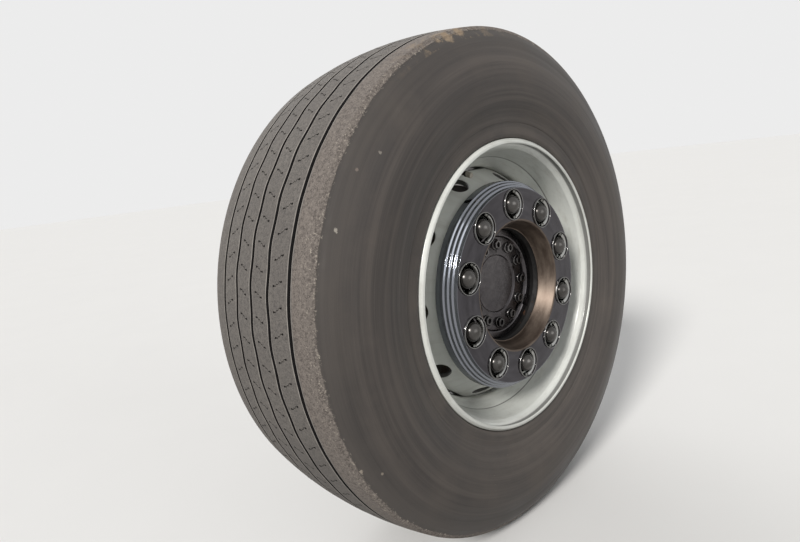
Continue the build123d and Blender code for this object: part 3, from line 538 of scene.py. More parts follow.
def polished_sheet():
    """Smoke dark polished sheet with fine turning lines, smears and dust, a brushed tan mouth, and painted highlights
    on the rounded edge and steps, on the raised hole lips and in the hole cups.
    """
    g = Graph("trim_stainless", Metallic=1.0)
    _, y, _, radius = g.parts()
    smear = g.streaks(6, 0.6, (3, 60, 60))
    lines = g.streaks(2, 0.5, (1.5, 4000, 3000))
    dust = g.times(g.spread(g.cells(420), 0.16, 0.08), g.spread(g.noise(22, 3), 0.5, 0.62))
    colour = g.mix(g.spread(smear, *MOST), rgb(80, 78, 82), rgb(62, 60, 63))
    # Painted highlight: the rounded edge and the steps are painted lighter than the face.
    colour = g.mix(g.step(radius, TRIM_EDGE - 2.1, TRIM_EDGE + 0.9), colour, rgb(134, 137, 144))
    mouth = g.step(radius, TRIM_INNER, TRIM_INNER - 2)
    colour = g.mix(mouth, colour, g.mix(g.spread(smear, 0.35, 0.65), rgb(80, 70, 63), rgb(108, 97, 88)))
    # Painted highlight: the raised lips round the holes are painted lighter.
    proud = g.times(g.step(y, TRIM_Y + 0.2, TRIM_Y + 1.2), g.step(radius, TRIM_EDGE + 1.4, TRIM_EDGE + 0.4))
    # Painted highlight: the cups inside the holes are painted bright.
    sunk = g.times(g.step(y, TRIM_Y - 0.2, TRIM_Y - 1), g.step(radius, TRIM_INNER + 1, TRIM_INNER + 1.5))
    sunk = g.times(sunk, g.step(radius, TRIM_EDGE - 0.6, TRIM_EDGE - 2.6))
    colour = g.mix(proud, colour, rgb(122, 121, 120))
    colour = g.mix(sunk, colour, rgb(176, 176, 173))
    colour = g.over(colour, dust, 0.6, rgb(150, 143, 132))
    g.set("Base Color", colour)
    gloss = g.plus(g.spread(smear, 0.35, 0.75, 0.04, 0.11), g.times(dust, 0.35))
    g.set("Roughness", g.plus(gloss, g.times(mouth, 0.4)))
    g.set("Normal", g.bump(lines, 0.02, g.bump(g.noise(24, 3), 0.3)))
    return g


def dark_chrome():
    """Dark polish of the nut caps, painted darker towards the foot as painted shade."""
    g = Graph("cap_chrome", Metallic=1.0)
    _, y, _, _ = g.parts()
    smear = g.noise(60, 5, 0.6)
    dust = g.spread(g.cells(500), 0.2, 0.1)
    colour = g.mix(g.spread(smear, *MOST), rgb(94, 92, 90), rgb(74, 72, 70))
    # Painted shade: the lower part of each cap is painted darker.
    colour = g.mix(g.step(y, CAP_Y + 32, CAP_Y + 19), colour, rgb(46, 44, 43))
    g.set("Base Color", g.over(colour, dust, 0.3, rgb(122, 116, 108)))
    g.set("Roughness", g.spread(smear, *MOST, 0.2, 0.3))
    g.set("Normal", g.bump(smear, 0.2))
    return g


def valve_finish():
    """Blackened stem under a pale dusty cap."""
    cap_y = 119.5
    g = Graph("valve_metal", Metallic=0.6)
    _, y, _, _ = g.parts()
    grain = g.noise(220, 5, 0.65)
    stem = g.mix(g.spread(grain, *MOST), rgb(30, 28, 26), rgb(52, 48, 44))
    cap = g.mix(g.spread(grain, *MOST), rgb(150, 145, 134), rgb(176, 170, 158))
    g.set("Base Color", g.mix(g.step(y, cap_y, cap_y + 1), stem, cap))
    g.set("Roughness", g.spread(grain, *MOST, 0.35, 0.6))
    g.set("Normal", g.bump(grain, 0.2))
    return g


def metal(name, dark, light, rough, metallic, grain=80, rust=0.0, bump=0.3, grease=0.0):
    """Iron or steel with grain, rust blooms and grease."""
    g = Graph(name)
    broad = g.noise(14, 7, 0.62)
    fine = g.noise(grain, 6, 0.65)
    colour = g.mix(g.spread(broad, *MOST), dark, light)
    colour = g.mix(g.spread(fine, 0.35, 0.75, 0, 0.5), colour, tuple(0.6 * c for c in dark))
    shine = g.spread(fine, *MOST, *rough)
    if rust:
        blend = g.plus(g.times(broad, 0.6), g.times(fine, 0.4))
        bloom = g.spread(blend, 0.6 - 0.18 * rust, 0.66)
        rusty = g.mix(g.noise(160, 5, 0.7), rgb(74, 46, 30), rgb(132, 84, 52))
        colour = g.over(colour, bloom, 0.85, rusty)
        shine = g.plus(shine, g.times(bloom, 0.3), True)
        metallic = g.times(g.minus(1.0, bloom), metallic)
    if grease:
        film = g.spread(g.noise(22, 5, 0.6), 0.6 - 0.2 * grease, 0.66)
        colour = g.over(colour, film, 0.8, rgb(24, 21, 19))
        shine = g.minus(shine, g.times(film, 0.2), True)
    g.set("Base Color", colour)
    g.set("Metallic", metallic)
    g.set("Roughness", shine)
    g.set("Normal", g.bump(fine, bump, g.bump(broad, bump * 2)))
    return g


def paint(name, colour, worn, dirt, rough, speck=0.5):
    """Painted part with road dirt in patches, worn through in flecks to the metal or rust below."""
    g = Graph(name, Coat_Weight=0.15, Coat_Roughness=0.3)
    broad = g.noise(11, 7, 0.62)
    fine = g.noise(150, 5, 0.65)
    coat = g.mix(g.spread(broad, *MOST), colour, tuple(0.75 * c for c in colour))
    soil = g.mix(fine, rgb(92, 82, 70), rgb(128, 116, 100))
    blend = g.plus(g.times(broad, 0.7), g.times(fine, 0.3))
    coat = g.mix(g.spread(blend, 0.62 - 0.2 * dirt, 0.74, 0, 0.75), coat, soil)
    wear = g.plus(g.times(g.noise(90, 5, 0.75), 0.6), g.times(broad, 0.4))
    chips = g.times(g.spread(wear, 0.55, 0.58), speck)
    g.set("Base Color", g.mix(chips, coat, worn))
    g.set("Roughness", g.spread(fine, *MOST, rough, min(0.9, rough + 0.25)))
    g.set("Normal", g.bump(g.minus(fine, chips), 0.4))
    return g


RUBBER = rubber()
PAINT = silver_paint()
TRIM = polished_sheet()
CHROME = dark_chrome()
# Near black: partly the hub's black paint and grease, partly painted shade for the shaded recess behind the trim
# ring's throat.
HUB_IRON = metal("hub_iron", rgb(16, 15, 15), rgb(28, 26, 25), (0.5, 0.75), 0.4, rust=0.05, grease=0.3)
CAP_PAINT = metal("hub_cap_metal", rgb(70, 67, 69), rgb(94, 91, 92), (0.14, 0.3), 0.95, 120, bump=0.1, grease=0.1)
BOLT_STEEL = metal(
    "cap_bolt_steel", rgb(60, 58, 58), rgb(124, 122, 121), (0.14, 0.3), 1.0, 160, bump=0.1, grease=0.2)
DISC_IRON = metal("brake_disc_iron", rgb(120, 114, 108), rgb(150, 144, 138), (0.3, 0.5), 0.9, 60, rust=0.45)
STEEL = metal("bare_steel", rgb(120, 118, 114), rgb(160, 157, 150), (0.28, 0.5), 1.0, 140, rust=0.25)
DARK_STEEL = metal("dark_steel", rgb(58, 55, 52), rgb(88, 84, 79), (0.35, 0.6), 0.9, 160, rust=0.35)
BRASS = metal("brass", rgb(150, 120, 66), rgb(186, 152, 92), (0.3, 0.5), 1.0, 200)
PAD = metal("pad_compound", rgb(62, 58, 55), rgb(92, 86, 80), (0.8, 0.95), 0.1, 240, rust=0.2)
FORGED = paint("forged_black", rgb(46, 45, 44), rgb(112, 78, 54), dirt=0.45, rough=0.5, speck=0.9)
CAST = paint("cast_brake", rgb(92, 89, 85), rgb(124, 86, 60), dirt=0.45, rough=0.55, speck=0.8)
CHAMBER = paint("chamber_paint", rgb(38, 39, 41), rgb(124, 112, 98), dirt=0.4, rough=0.4)
PLASTIC = paint("black_plastic", rgb(26, 26, 27), rgb(60, 58, 56), dirt=0.4, rough=0.55, speck=0.2)
CAD_FINISH = (
    (PAINT, ("rim_disc",)), (HUB_IRON, ("hub",)), (CAP_PAINT, ("hub_cap",)), (DISC_IRON, ("brake_disc",)),
    (FORGED, ("knuckle", "tie_rod_arm", "steering_arm", "axle_head")),
    (CAST, ("brake_carrier", "brake_caliper")),
    (STEEL, ("tone_ring", "kingpin", "wheel_bearings", "balance_weight")),
    (DARK_STEEL, ("wheel_studs", "trim_brackets", "spindle_nut", "kingpin_caps", "caliper_pins", "thrust_bearing")),
    (valve_finish(), ("valve_stem",)), (BRASS, ("kingpin_bushes",)), (PAD, ("brake_pads",)),
    (CHAMBER, ("brake_chamber",)), (PLASTIC, ("abs_sensor",)))
CAD_SMOOTH = 28
for graph, node_names in CAD_FINISH:
    for node_name in node_names:
        cad = NODES[node_name]
        cad.data.materials.clear()
        cad.data.materials.append(graph.material)
        shade(cad, CAD_SMOOTH)


# Tyre
def crown_r(y):
    """Radius of the tread's round crown at y."""
    big = (TREAD_HALF ** 2 + CROWN_DROP ** 2) / (2 * CROWN_DROP)
    return TREAD_R - big + np.sqrt(big ** 2 - np.square(y))


def wave_of(angle, y):
    """Sideways wave of the grooves: full at a groove, gone half way to the next, and one wave to two sipes."""
    full_within, fade, lag = 6, 21.0, 1.3
    out = np.zeros(np.broadcast(angle, y).shape)
    for i, (place, _, height) in enumerate(GROOVES):
        share = np.clip(1 - (np.abs(y - place) - full_within) / fade, 0, 1)
        out += share * height * np.sin(SIPES_ROUND / 2 * angle + lag * i)
    return out


def groove_section(place, wide):
    """(y, r, zone) across one groove, with its broken edges, draft and rounded foot."""
    half, deep = wide / 2, GROOVE_DEEP
    for dy, drop, zone in (
            (-half - 0.8, 0.1, GROOVE_EDGE), (-half - 0.1, 0.25, GROOVE_EDGE), (-half, 0.45, GROOVE),
            (-half + 0.7, deep - 1.0, GROOVE), (-half + 1.7, deep, GROOVE), (half - 1.7, deep, GROOVE),
            (half - 0.7, deep - 1.0, GROOVE), (half, 0.45, GROOVE), (half + 0.1, 0.25, GROOVE_EDGE),
            (half + 0.6, 0.1, GROOVE_EDGE)):
        yield place + dy, crown_r(place + dy) - drop, zone


def tyre_profile():
    """Closed outline as (y, r), with the zone of each point."""
    rows = []
    last = len(GROOVES)
    ribs = [-TREAD_HALF] + [g[0] for g in GROOVES] + [TREAD_HALF]
    for i, (low, high) in enumerate(zip(ribs, ribs[1:])):
        start = low + (3.0 if i == 0 else GROOVES[i - 1][1] / 2 + 2.0)
        end = high - (3.0 if i == last else GROOVES[i][1] / 2 + 2.0)
        if i == 0:
            rows.append((-TREAD_HALF, crown_r(TREAD_HALF), SHOULDER_EDGE))
        rows += [(y, crown_r(y), TREAD) for y in np.linspace(start, end, 4 if i in (0, last) else 3)]
        if i < last:
            rows += groove_section(*GROOVES[i][:2])
    rows.append((TREAD_HALF, crown_r(TREAD_HALF), SHOULDER_EDGE))

    edge_r = TREAD_R - CROWN_DROP
    shoulder = (SECTION_HALF - 15, (edge_r + BULGE_R) / 2 + 6)
    side_low = (SECTION_HALF - 12, (BULGE_R + FLANGE_R) / 2 - 8)
    bead = [
        (167.8, 332.5), (167.2, 329.5), (166.0, 328.3), (165.2, 315), (165.8, 309), (165.2, 303),
        (162.8, 299.6), (154.2, 298.9), (148.9, 295.7), (148.9, 294.7), (140.2, 283.7), (110.2, 275.6),
        (112.2, SEAT_R)]
    liner = [(160, 384), (158, 434), (116, 485)]
    for side, counts in ((1, (14, 24)), (-1, (7, 10))):
        outer = arc3((TREAD_HALF, edge_r), (SECTION_HALF - 25, edge_r - 18), shoulder, counts[0])[1:]
        outer += arc3(shoulder, (SECTION_HALF, BULGE_R), side_low, counts[1])[1:]
        outer += bead if side > 0 else bead[3:4] + bead[5:]
        walk = [(y, r, SIDE) for y, r in outer] + [(y, r, LINER) for y, r in liner]
        if side > 0:
            walk += [(0.0, TREAD_R - 30, LINER)]
        else:
            walk = walk[::-1]
        rows += [(side * y, r, zone) for y, r, zone in walk]
    return np.array([row[:2] for row in rows]), np.array([row[2] for row in rows])


def side_relief(y, r):
    """Thin raised rings moulded on the side, as a move along Y."""
    from_y, wide = 160, 3.0
    out = np.zeros_like(r)
    for place, high in ((463, 0.7), (446, 0.4), (360, 0.6)):
        out += high * np.exp(-np.square((r - place) / wide))
    return out * np.sign(y) * (np.abs(y) > from_y)


def build_tyre():
    """Tyre with waved grooves, relief on its sides, a ragged ledge under the shoulder and mud near the top."""
    profile, zones = tyre_profile()
    across, high = np.abs(profile[:, 0]), profile[:, 1]
    ledge_in, ledge_out, ledge_low = 151.5, 157.5, 480
    ledge = (zones == SIDE) & (across > ledge_in) & (across < ledge_out) & (high > ledge_low)
    ledge_step, ledge_wear = 0.5, 1.1
    coarse, small, small_share = 26, 90, 0.6

    def shift(angle, y, r):
        dy = np.where(np.isin(zones, (TREAD, GROOVE, GROOVE_EDGE))[None, :], wave_of(angle, y), 0.0)
        dy = dy + np.where((zones == SIDE)[None, :], side_relief(y, r), 0.0)
        jag = np.empty(len(angle))
        for i, a in enumerate(angle[:, 0]):
            x, z = cos(a), sin(a)
            jag[i] = noise.noise(Vector((x * coarse, z * coarse, 3.7)))
            jag[i] += small_share * noise.noise(Vector((x * small, z * small, 9.1)))
        dr = np.where(ledge[None, :], -ledge_step - ledge_wear * np.abs(jag[:, None]), 0.0)
        return dy, dr

    points, faces = spun(profile, TYRE_SEGMENTS, shift)
    obj = new_object("tyre_worn", points, faces, 38)
    all_zones = np.tile(zones, TYRE_SEGMENTS)
    attribute(obj, "groove", all_zones == GROOVE)
    attribute(obj, "edge", all_zones == GROOVE_EDGE)
    mud_at, mud_wide, mud_from, mud_fade, mud_low_r = 75, 11, 112, 25, 490
    angle = np.degrees(np.arctan2(points[:, 2], points[:, 0]))
    mud = np.exp(-np.square((angle - mud_at) / mud_wide)) * np.clip((points[:, 1] - mud_from) / mud_fade, 0, 1)
    mud *= np.hypot(points[:, 0], points[:, 2]) > mud_low_r
    attribute(obj, "mud", mud)
    obj.data.materials.append(RUBBER.material)
    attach(obj, "wheel")
    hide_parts("tyre")


def build_sipes():
    """One short slit a pitch on each inner rib: two pits joined by a zigzag, as near black blades sunk in the tread
    whose colour is painted shade of the slits.
    """
    # Along the slit: share of its length, share of its jog, half its width
    shape = (
        (0.0, 0.0, 0.4), (0.03, 0.0, 1.7), (0.1, 0.02, 1.9), (0.17, 0.06, 0.8), (0.3, 0.0, 0.55), (0.42, 0.45, 0.55),
        (0.56, 0.4, 0.55), (0.7, 1.0, 0.55), (0.83, 0.94, 0.8), (0.9, 0.98, 1.9), (0.97, 1.0, 1.7), (1.0, 1.0, 0.4))
    # For each inner rib: which way its slits lean, and their place in the pitch
    ribs = ((1, -0.2), (-1, 0.31), (-1, 0.285), (1, 0.783))
    starts_at, length, jog_wide = 0.27, 0.42, 8.0
    proud, sunk = 0.12, 2.0
    points, faces = [], []
    for (lean, phase), low, high in zip(ribs, GROOVES, GROOVES[1:]):
        low, wide = low[0], high[0] - low[0]
        for n in range(SIPES_ROUND):
            base = (n + phase) * (2 * pi / SIPES_ROUND)
            first = len(points)
            for t, jog, half in shape:
                y = low + wide * (starts_at + length * t)
                a = base + lean * (jog - 0.5) * jog_wide / TREAD_R
                y_wave = y + float(wave_of(np.array(a), np.array(y)))
                for side, rise in ((-half, proud), (half, proud), (0.0, -sunk)):
                    r = float(crown_r(y)) + rise
                    x, z = on_circle(r, a + side / TREAD_R)
                    points.append((x, y_wave, z))
            for k in range(len(shape) - 1):
                a0 = first + 3 * k
                for u, v in ((0, 1), (1, 2), (2, 0)):
                    faces.append((a0 + u, a0 + v, a0 + 3 + v, a0 + 3 + u))
            faces.append((first, first + 2, first + 1))
            last = first + 3 * (len(shape) - 1)
            faces.append((last, last + 1, last + 2))
    obj = new_object("tread_sipes", points, faces, 30)
    obj.data.materials.append(sipe_painted_shade().material)
    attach(obj, "wheel")


# Wheel, trim ring and what shows through it
def stud_places():
    """X and Z of each stud."""
    for i in range(STUDS):
        yield on_circle(STUD_CIRCLE, radians(STUD_PHASE + STUD_STEP * i))


def build_barrel():
    """Barrel with its wells and seats, and an outer flange rolled over a hollow; corners are (y, r, radius)."""
    tyre_side = [
        (-163.0, 296.9, 2), (-154.2, 298.4, 1), (-149.2, 295.4, 2), (-149.2, 285.7, 2), (-104.2, 273.7, 8),
        (24.0, 256.0, 14), (76.0, 256.0, 14), (104.2, 273.7, 8), (149.2, 285.7, 2), (149.2, 295.4, 2),
        (154.2, 298.4, 1), (164.0, 297.8, 2.5), (169.0, 293.4, 3), (169.6, 288.6, 1.6)]
    bore_side = [
        (167.2, 286.9, 1.2), (163.0, 290.3, 2.5), (155.8, 289.7, 3), (153.2, 284.5, 3), (146.2, 279.7, 6),
        (103.2, 267.7, 8), (76.0, 250.0, 20), (23.0, 250.0, 20), (-103.2, 267.7, 8), (-146.2, 279.7, 6),
        (-163.0, 282.4, 4)]
    corners = tyre_side + bore_side
    profile = rounded([c[:2] for c in corners], [c[2] for c in corners], 6, True)
    points, faces = spun(profile, RING_POINTS)
    obj = new_object("rim_barrel_rolled", points, faces, 30)
    obj.data.materials.append(PAINT.material)
    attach(obj, "wheel")
    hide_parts("rim_barrel")


def trim_face():
    """Flat face of the trim ring between its edge, its mouth and the lips of the stud holes."""
    outer, inner = TRIM_EDGE - TRIM_SEAM, TRIM_INNER + TRIM_SEAM
    loops = [ring(outer, RING_POINTS), ring(inner, RING_POINTS)]
    loops += [ring(LIP_R + 0.3, HOLE_POINTS, c) for c in stud_places()]
    flat, edges = [], []
    for loop in loops:
        first = len(flat)
        flat.extend(Vector(p) for p in loop)
        edges.extend((first + i, first + (i + 1) % len(loop)) for i in range(len(loop)))
    verts, _, triangles, *_ = delaunay_2d_cdt(flat, edges, [], 0, 1e-5)
    kept = []
    for tri in triangles:
        x = sum(verts[v][0] for v in tri) / 3
        z = sum(verts[v][1] for v in tri) / 3
        if inner < hypot(x, z) < outer and all(
                hypot(x - a, z - b) > LIP_R + 0.25 for a, b in stud_places()):
            kept.append(tuple(tri))
    return [(v[0], TRIM_Y, v[1]) for v in verts], kept


def build_trim_ring():
    """Sheet ring with a rolled lip round each hole, a bell mouth and three rounded steps."""
    points, faces = [], []

    def take(new_points, new_faces):
        first = len(points)
        points.extend(new_points)
        faces.extend(tuple(v + first for v in f) for f in new_faces)

    def take_turned(line, count, centre=(0.0, 0.0)):
        take(*join_rows([[(x, TRIM_Y + h, z) for x, z in ring(radius, count, centre)] for radius, h in line]))

    take(*trim_face())
    lip = rounded([(LIP_R + 0.3, 0.0), (LIP_R, 0.0), (LIP_R - 0.7, 3.2), (HOLE_R + 0.5, 3.2), (HOLE_R, 0.6),
                   (CUP_R, -6.0), (CUP_R, -9.0)], (0, 1.0, 1.1, 1.1, 2.0, 2.0, 0), 5)
    for centre in stud_places():
        take_turned(lip, HOLE_POINTS, centre)
    mouth = rounded([(TRIM_INNER + TRIM_SEAM, 0.0), (TRIM_INNER - 4.0, 0.0), (TRIM_THROAT, -34.0),
                     (TRIM_THROAT - 0.6, -35.0), (TRIM_THROAT - 1.8, -35.3)], (0, 15, 0.6, 0.4, 0), 9)
    rim = [(TRIM_EDGE - TRIM_SEAM, 0.0), (TRIM_EDGE, 0.0)]
    step_out, step_back = 4.8, 7
    for step in range(3):
        edge, back = TRIM_EDGE + step_out * step, -step_back * step
        rim += [(edge + 1.3, back - 6.8), (edge + 5.2, back - 7.8)]
    rim += [(TRIM_EDGE + 15.2, -39.0)]
    rim = rounded(rim, [0, 2.6] + [1.1, 1.9] * 3 + [0], 4)
    take_turned(mouth, RING_POINTS)
    take_turned(rim, RING_POINTS)

    smooth = 46
    obj = new_object("trim_ring_polished", points, faces, smooth)
    mesh = bmesh.new()
    mesh.from_mesh(obj.data)
    bmesh.ops.remove_doubles(mesh, verts=mesh.verts, dist=2e-5)
    bmesh.ops.recalc_face_normals(mesh, faces=mesh.faces)
    facing = sum(f.normal.y * f.calc_area() for f in mesh.faces)
    if facing < 0:
        bmesh.ops.reverse_faces(mesh, faces=mesh.faces)
    bmesh.ops.solidify(mesh, geom=mesh.faces[:], thickness=TRIM_WALL * MM)
    mesh.to_mesh(obj.data)
    mesh.free()
    shade(obj, smooth)
    obj.data.materials.append(TRIM.material)
    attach(obj, "wheel")
    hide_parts("trim_ring")


def build_nut_caps():
    """Domed caps with a foot ring."""
    dome_foot = 16.8
    profile = rounded([(24.0, 0.0), (24.0, 3.6), (22.6, 5.0), (22.2, 15.0), (20.9, 16.2)], (0, 0.8, 0.6, 0.8, 0), 3)
    for degrees in range(0, 90, 6):
        radius, height = on_circle(DOME_R, radians(degrees))
        profile.append((radius, dome_foot + height))
    profile.append((0.9, 36.78))
    shapes = [turned(profile, 64, centre, CAP_Y) for centre in stud_places()]
    build_many("nut_caps_domed", shapes, 40, CHROME, "wheel", "nut_caps")


def build_cap_bolts():
    """Hex heads with a collar and a socket."""
    head, socket = 10.2, 6.0
    profile = rounded([(12.4, 0.0), (12.4, 1.2), (11.6, 2.6), (10.3, 3.0), (head, 3.0), (head, 8.2), (9.0, 9.0)],
                      (0, 0.5, 0.8, 0, 0, 0.5, 0), 3)
    profile += [(5.8, 9.0), (5.2, 8.4), (5.2, 4.4), (0.6, 3.8)]
    shapes = []
    for i in range(HUB_SCREWS):
        centre = on_circle(HUB_SCREW_CIRCLE, radians(HUB_SCREW_PHASE + 360 / HUB_SCREWS * i))
        shapes.append(turned(profile, 48, centre, HUB_SCREW_Y, hex_across(head, socket)))
    build_many("hub_cap_screws", shapes, 34, BOLT_STEEL, "wheel", "hub_cap_bolts")


def build_hole_collars():
    """Rolled edge round each hand hole: from the cut in the disc to the rounder mouth that shows."""
    length = hypot(1, DISC_FALL)
    normal_r, normal_y = DISC_FALL / length, 1 / length
    # Share of the way from the cut to the mouth, and height over the disc
    rows_at = [(share, 0.12) for share in (0.0, 0.25, 0.5, 0.75)]
    rows_at += [(0.9, 0.12), (0.96, 0.02), (0.99, -0.35), (1.0, -0.9), (1.0, -11.0)]
    rows_at += [(share, -11.9) for share in (0.97, 0.75, 0.5, 0.25, 0.0)]
    up = np.array((0.0, 1.0, 0.0))
    shapes = []
    for n in range(STUDS):
        middle = radians(HAND_HOLE_PHASE + STUD_STEP * n)
        u = np.array((cos(middle), 0.0, sin(middle)))
        t = np.array((-sin(middle), 0.0, cos(middle)))
        centre = u * HAND_HOLE_R + up * disc_y(HAND_HOLE_R)
        normal = u * normal_r + up * normal_y
        slope = u * normal_y - up * normal_r
        rows = []
        for share, lift in rows_at:
            row = []
            for i in range(HOLE_POINTS):
                a = 2 * pi * i / HOLE_POINTS
                cut = (CUT_HALF[0] * cos(a), CUT_HALF[1] * sin(a))
                mouth = (MOUTH_R * cos(a), MOUTH_DOWN + MOUTH_R * sin(a))
                across, down = ((1 - share) * p + share * q for p, q in zip(cut, mouth))
                p = centre + t * across + slope * down
                # The tangent plane's points are brought down to the round cone in a few steps
                for _ in range(4):
                    p = p - normal * (p[1] - disc_y(hypot(p[0], p[2]))) * normal_y
                row.append(tuple(p + normal * lift))
            rows.append(row)
        shapes.append(join_rows(rows + rows[:1]))
    build_many("hand_hole_collars", shapes, 50, PAINT, "wheel")


# Small fastenings at the back
def build_knuckle_fastenings():
    """Screws and a grease nipple on each kingpin cap, and the bolts of the brake flange."""
    lean = radians(PIN_LEAN)
    pin_foot = np.array((0.0, -PIN_INBOARD, 0.0))
    pin_axis = np.array((0.0, -sin(lean), cos(lean)))
    fore = np.array((1.0, 0.0, 0.0))
    side = np.array((0.0, cos(lean), sin(lean)))
    nipple = [(6.0, 0.0), (6.0, 4.0), (3.6, 4.6), (3.4, 9.0), (4.2, 10.0), (4.2, 11.2), (3.0, 13.0), (1.0, 13.8)]
    nipple = turned(nipple, 24, across=hex_across(6.0, 5.0))
    cap_screw, flange_screw = 6.0, 9.0
    screws, nipples = [], []
    for way in (1, -1):
        top = pin_foot + pin_axis * way * PIN_CAP_HIGH
        for degrees in (45, 135, 225, 315):
            a = radians(degrees)
            place = top + fore * PIN_SCREW_CIRCLE * cos(a) + side * PIN_SCREW_CIRCLE * sin(a)
            screws.append(placed(hex_screw(cap_screw), place, pin_axis * way))
        nipples.append(placed(nipple, top, pin_axis * way))
    flange_y = node_box("brake_carrier")[0][1] - FLANGE_WALL
    for degrees in FLANGE_SCREW_DEGREES:
        x, z = on_circle(FLANGE_SCREW_CIRCLE, radians(degrees))
        screws.append(placed(hex_screw(flange_screw), (x, flange_y, z), (0, -1, 0)))
    build_many("knuckle_screws", screws, 34, DARK_STEEL, "steered_end")
    build_many("grease_nipples", nipples, 34, BRASS, "steered_end")


def build_chamber_fittings():
    """Two clamps with bolts on the chamber's band, and two plugged ports on its back."""
    low, high = node_box("brake_chamber")
    middle = (low + high) / 2
    band_r = (high[0] - low[0]) / 2
    sunk, plate_out, bolt, bolt_high, shank_half = 1.5, 9.0, 6.5, 9.0, 4.5
    plate_half, plate_high, small = 8, 17, 1 - 0.6 / 9
    plate = rounded([(-plate_half, 0), (plate_half, 0), (plate_half, plate_high), (-plate_half, plate_high)],
                    (0, 0, 5, 5), 4, True)
    y = np.array((0.0, 1.0, 0.0))
    bolts, clamps, ports = [], [], []
    for way in CLAMP_DEGREES:
        a = radians(way)
        out = np.array((cos(a), 0.0, sin(a)))
        along = np.array((-sin(a), 0.0, cos(a)))
        foot = np.array((middle[0], low[1] + CLAMP_Y, middle[2])) + out * (band_r - sunk)
        for side in (-1, 1):
            rows = []
            for depth, scale in ((4.2, small), (4.8, 1.0), (8.4, 1.0), (plate_out, small)):
                rows.append([tuple(foot + along * side * depth + y * p * scale
                                   + out * (plate_half + (q - plate_half) * scale)) for p, q in plate])
            points, faces = join_rows(rows)
            count = len(plate)
            faces += [tuple(range(count)), tuple(3 * count + i for i in range(count))]
            clamps.append((points, faces))
            bolts.append(placed(hex_screw(bolt), foot + along * side * plate_out + out * bolt_high, along * side))
        shank = turned([(4.0, 0.0), (4.0, 2 * shank_half)], 20)
        bolts.append(placed(shank, foot - along * shank_half + out * bolt_high, along))
    port = rounded([(11.0, 0.0), (11.0, 6.0), (8.0, 6.6), (8.0, 9.0), (5.0, 11.0), (1.0, 11.2)],
                   (0, 0.4, 0.4, 1.2, 0.6, 0), 3)
    port = turned(port, 36, across=hex_across(11.0, 8.6))
    for x in PORT_X:
        ports.append(placed(port, (middle[0] + x, low[1], middle[2]), (0, -1, 0)))
    build_many("chamber_clamps", clamps, 34, CHAMBER, "steered_end")
    build_many("chamber_bolts", bolts, 34, STEEL, "steered_end")
    build_many("chamber_ports", ports, 34, BRASS, "steered_end")


build_tyre()
build_sipes()
build_knuckle_fastenings()
build_chamber_fittings()
build_barrel()
build_trim_ring()
build_nut_caps()
build_cap_bolts()
build_hole_collars()

# Floor, light and view
FLOOR_HALF = 40.0
FLOOR_PALE = (0.76, 0.76, 0.755)
FLOOR_BOUNCE = (0.3, 0.3, 0.29)
WORLD_LIGHT, WORLD_SEEN = 0.38, 0.84
# Each sun: name, the way it shines, strength, angle in degrees and colour
SUNS = (
    ("key", (-0.80, -0.26, -0.54), 3.1, 14, (1.0, 0.975, 0.94)),
    ("fill", (0.1, -1.0, -0.15), 0.55, 40, (1.0, 1.0, 1.0)),
    ("back", (0.3, 0.85, -0.5), 0.9, 60, (1.0, 1.0, 1.0)))
CAMERA_PLACE, CAMERA_FORWARD = (0.95713, 1.18178, 0.34731), (-0.66829834, -0.72274143, -0.17613107)
CAMERA_ROLL = -0.12
FOCAL_PX, PICTURE_PX, SENSOR_WIDTH = 570.53, 800.0, 36.0


def background_share(tree):
    """1 for camera, glossy and transmission rays, so that metal shows the pale background too."""
    path = tree.nodes.new("ShaderNodeLightPath")
    share = path.outputs["Is Camera Ray"]
    for name in ("Is Glossy Ray", "Is Transmission Ray"):
        more = tree.nodes.new("ShaderNodeMath")
        more.operation = "MAXIMUM"
        tree.links.new(share, more.inputs[0])
        tree.links.new(path.outputs[name], more.inputs[1])
        share = more.outputs[0]
    return share


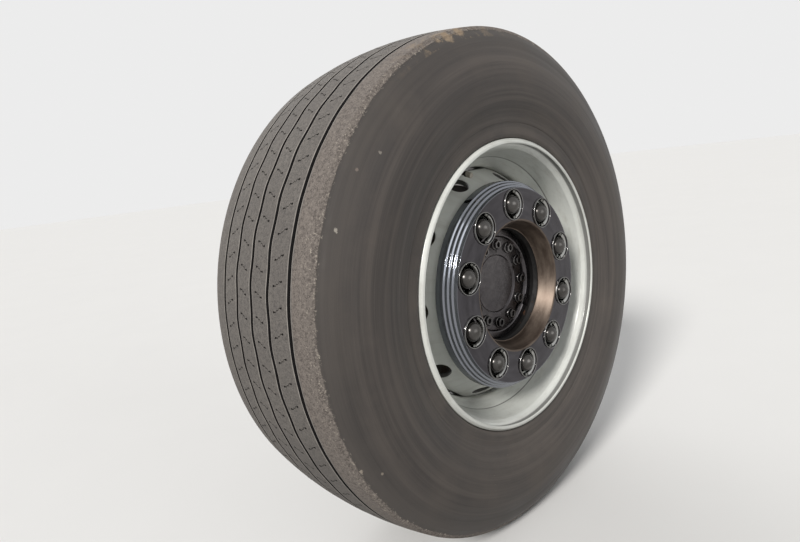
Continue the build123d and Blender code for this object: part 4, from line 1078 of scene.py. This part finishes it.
def build_floor():
    """Pale floor that throws back less light than it shows."""
    corners = [(x * FLOOR_HALF, y * FLOOR_HALF, FLOOR_Z) for x, y in ((-1, -1), (1, -1), (1, 1), (-1, 1))]
    mesh = bpy.data.meshes.new("floor")
    mesh.from_pydata(corners, [], [(0, 1, 2, 3)])
    floor = bpy.data.objects.new("floor", mesh)
    bpy.context.scene.collection.objects.link(floor)
    g = Graph("floor_pale", Roughness=0.9, Specular_IOR_Level=0.0)
    pale = g.mix(g.noise(3, 3), FLOOR_PALE, tuple(1.03 * c for c in FLOOR_PALE))
    g.set("Base Color", g.mix(background_share(g.tree), FLOOR_BOUNCE, pale))
    mesh.materials.append(g.material)


def soft_sun(name, towards, strength, spread, colour):
    """Sun that shines along towards."""
    data = bpy.data.lights.new(name, "SUN")
    data.energy = strength
    data.angle = radians(spread)
    data.color = colour
    lamp = bpy.data.objects.new(name, data)
    bpy.context.scene.collection.objects.link(lamp)
    lamp.rotation_euler = Vector(towards).to_track_quat("-Z", "Y").to_euler()


def build_world():
    """Even pale light, with a brighter background than the light it gives."""
    world = bpy.data.worlds.new("world")
    world.use_nodes = True
    bpy.context.scene.world = world
    background = world.node_tree.nodes["Background"]
    level = world.node_tree.nodes.new("ShaderNodeMapRange")
    level.inputs["To Min"].default_value = WORLD_LIGHT
    level.inputs["To Max"].default_value = WORLD_SEEN
    world.node_tree.links.new(background_share(world.node_tree), level.inputs["Value"])
    world.node_tree.links.new(level.outputs[0], background.inputs["Strength"])
    background.inputs["Color"].default_value = (1, 1, 1, 1)


def build_camera():
    """Camera that was fitted to the photo, placed in metres in the part's frame."""
    data = bpy.data.cameras.new("camera")
    camera = bpy.data.objects.new("camera", data)
    bpy.context.scene.collection.objects.link(camera)
    forward = Vector(CAMERA_FORWARD).normalized()
    right = forward.cross(Vector((0, 0, 1))).normalized()
    up = right.cross(forward)
    turn, hold = sin(CAMERA_ROLL), cos(CAMERA_ROLL)
    right, up = right * hold + up * turn, up * hold - right * turn
    rotation = Matrix((right, up, -forward)).transposed().to_4x4()
    camera.matrix_world = Matrix.Translation(CAMERA_PLACE) @ rotation
    data.sensor_fit = "HORIZONTAL"
    data.sensor_width = SENSOR_WIDTH
    data.lens = FOCAL_PX * SENSOR_WIDTH / PICTURE_PX
    data.clip_start = 0.02
    bpy.context.scene.camera = camera


build_floor()
for sun in SUNS:
    soft_sun(*sun)
build_world()
build_camera()
bpy.context.scene.view_settings.view_transform = "Standard"
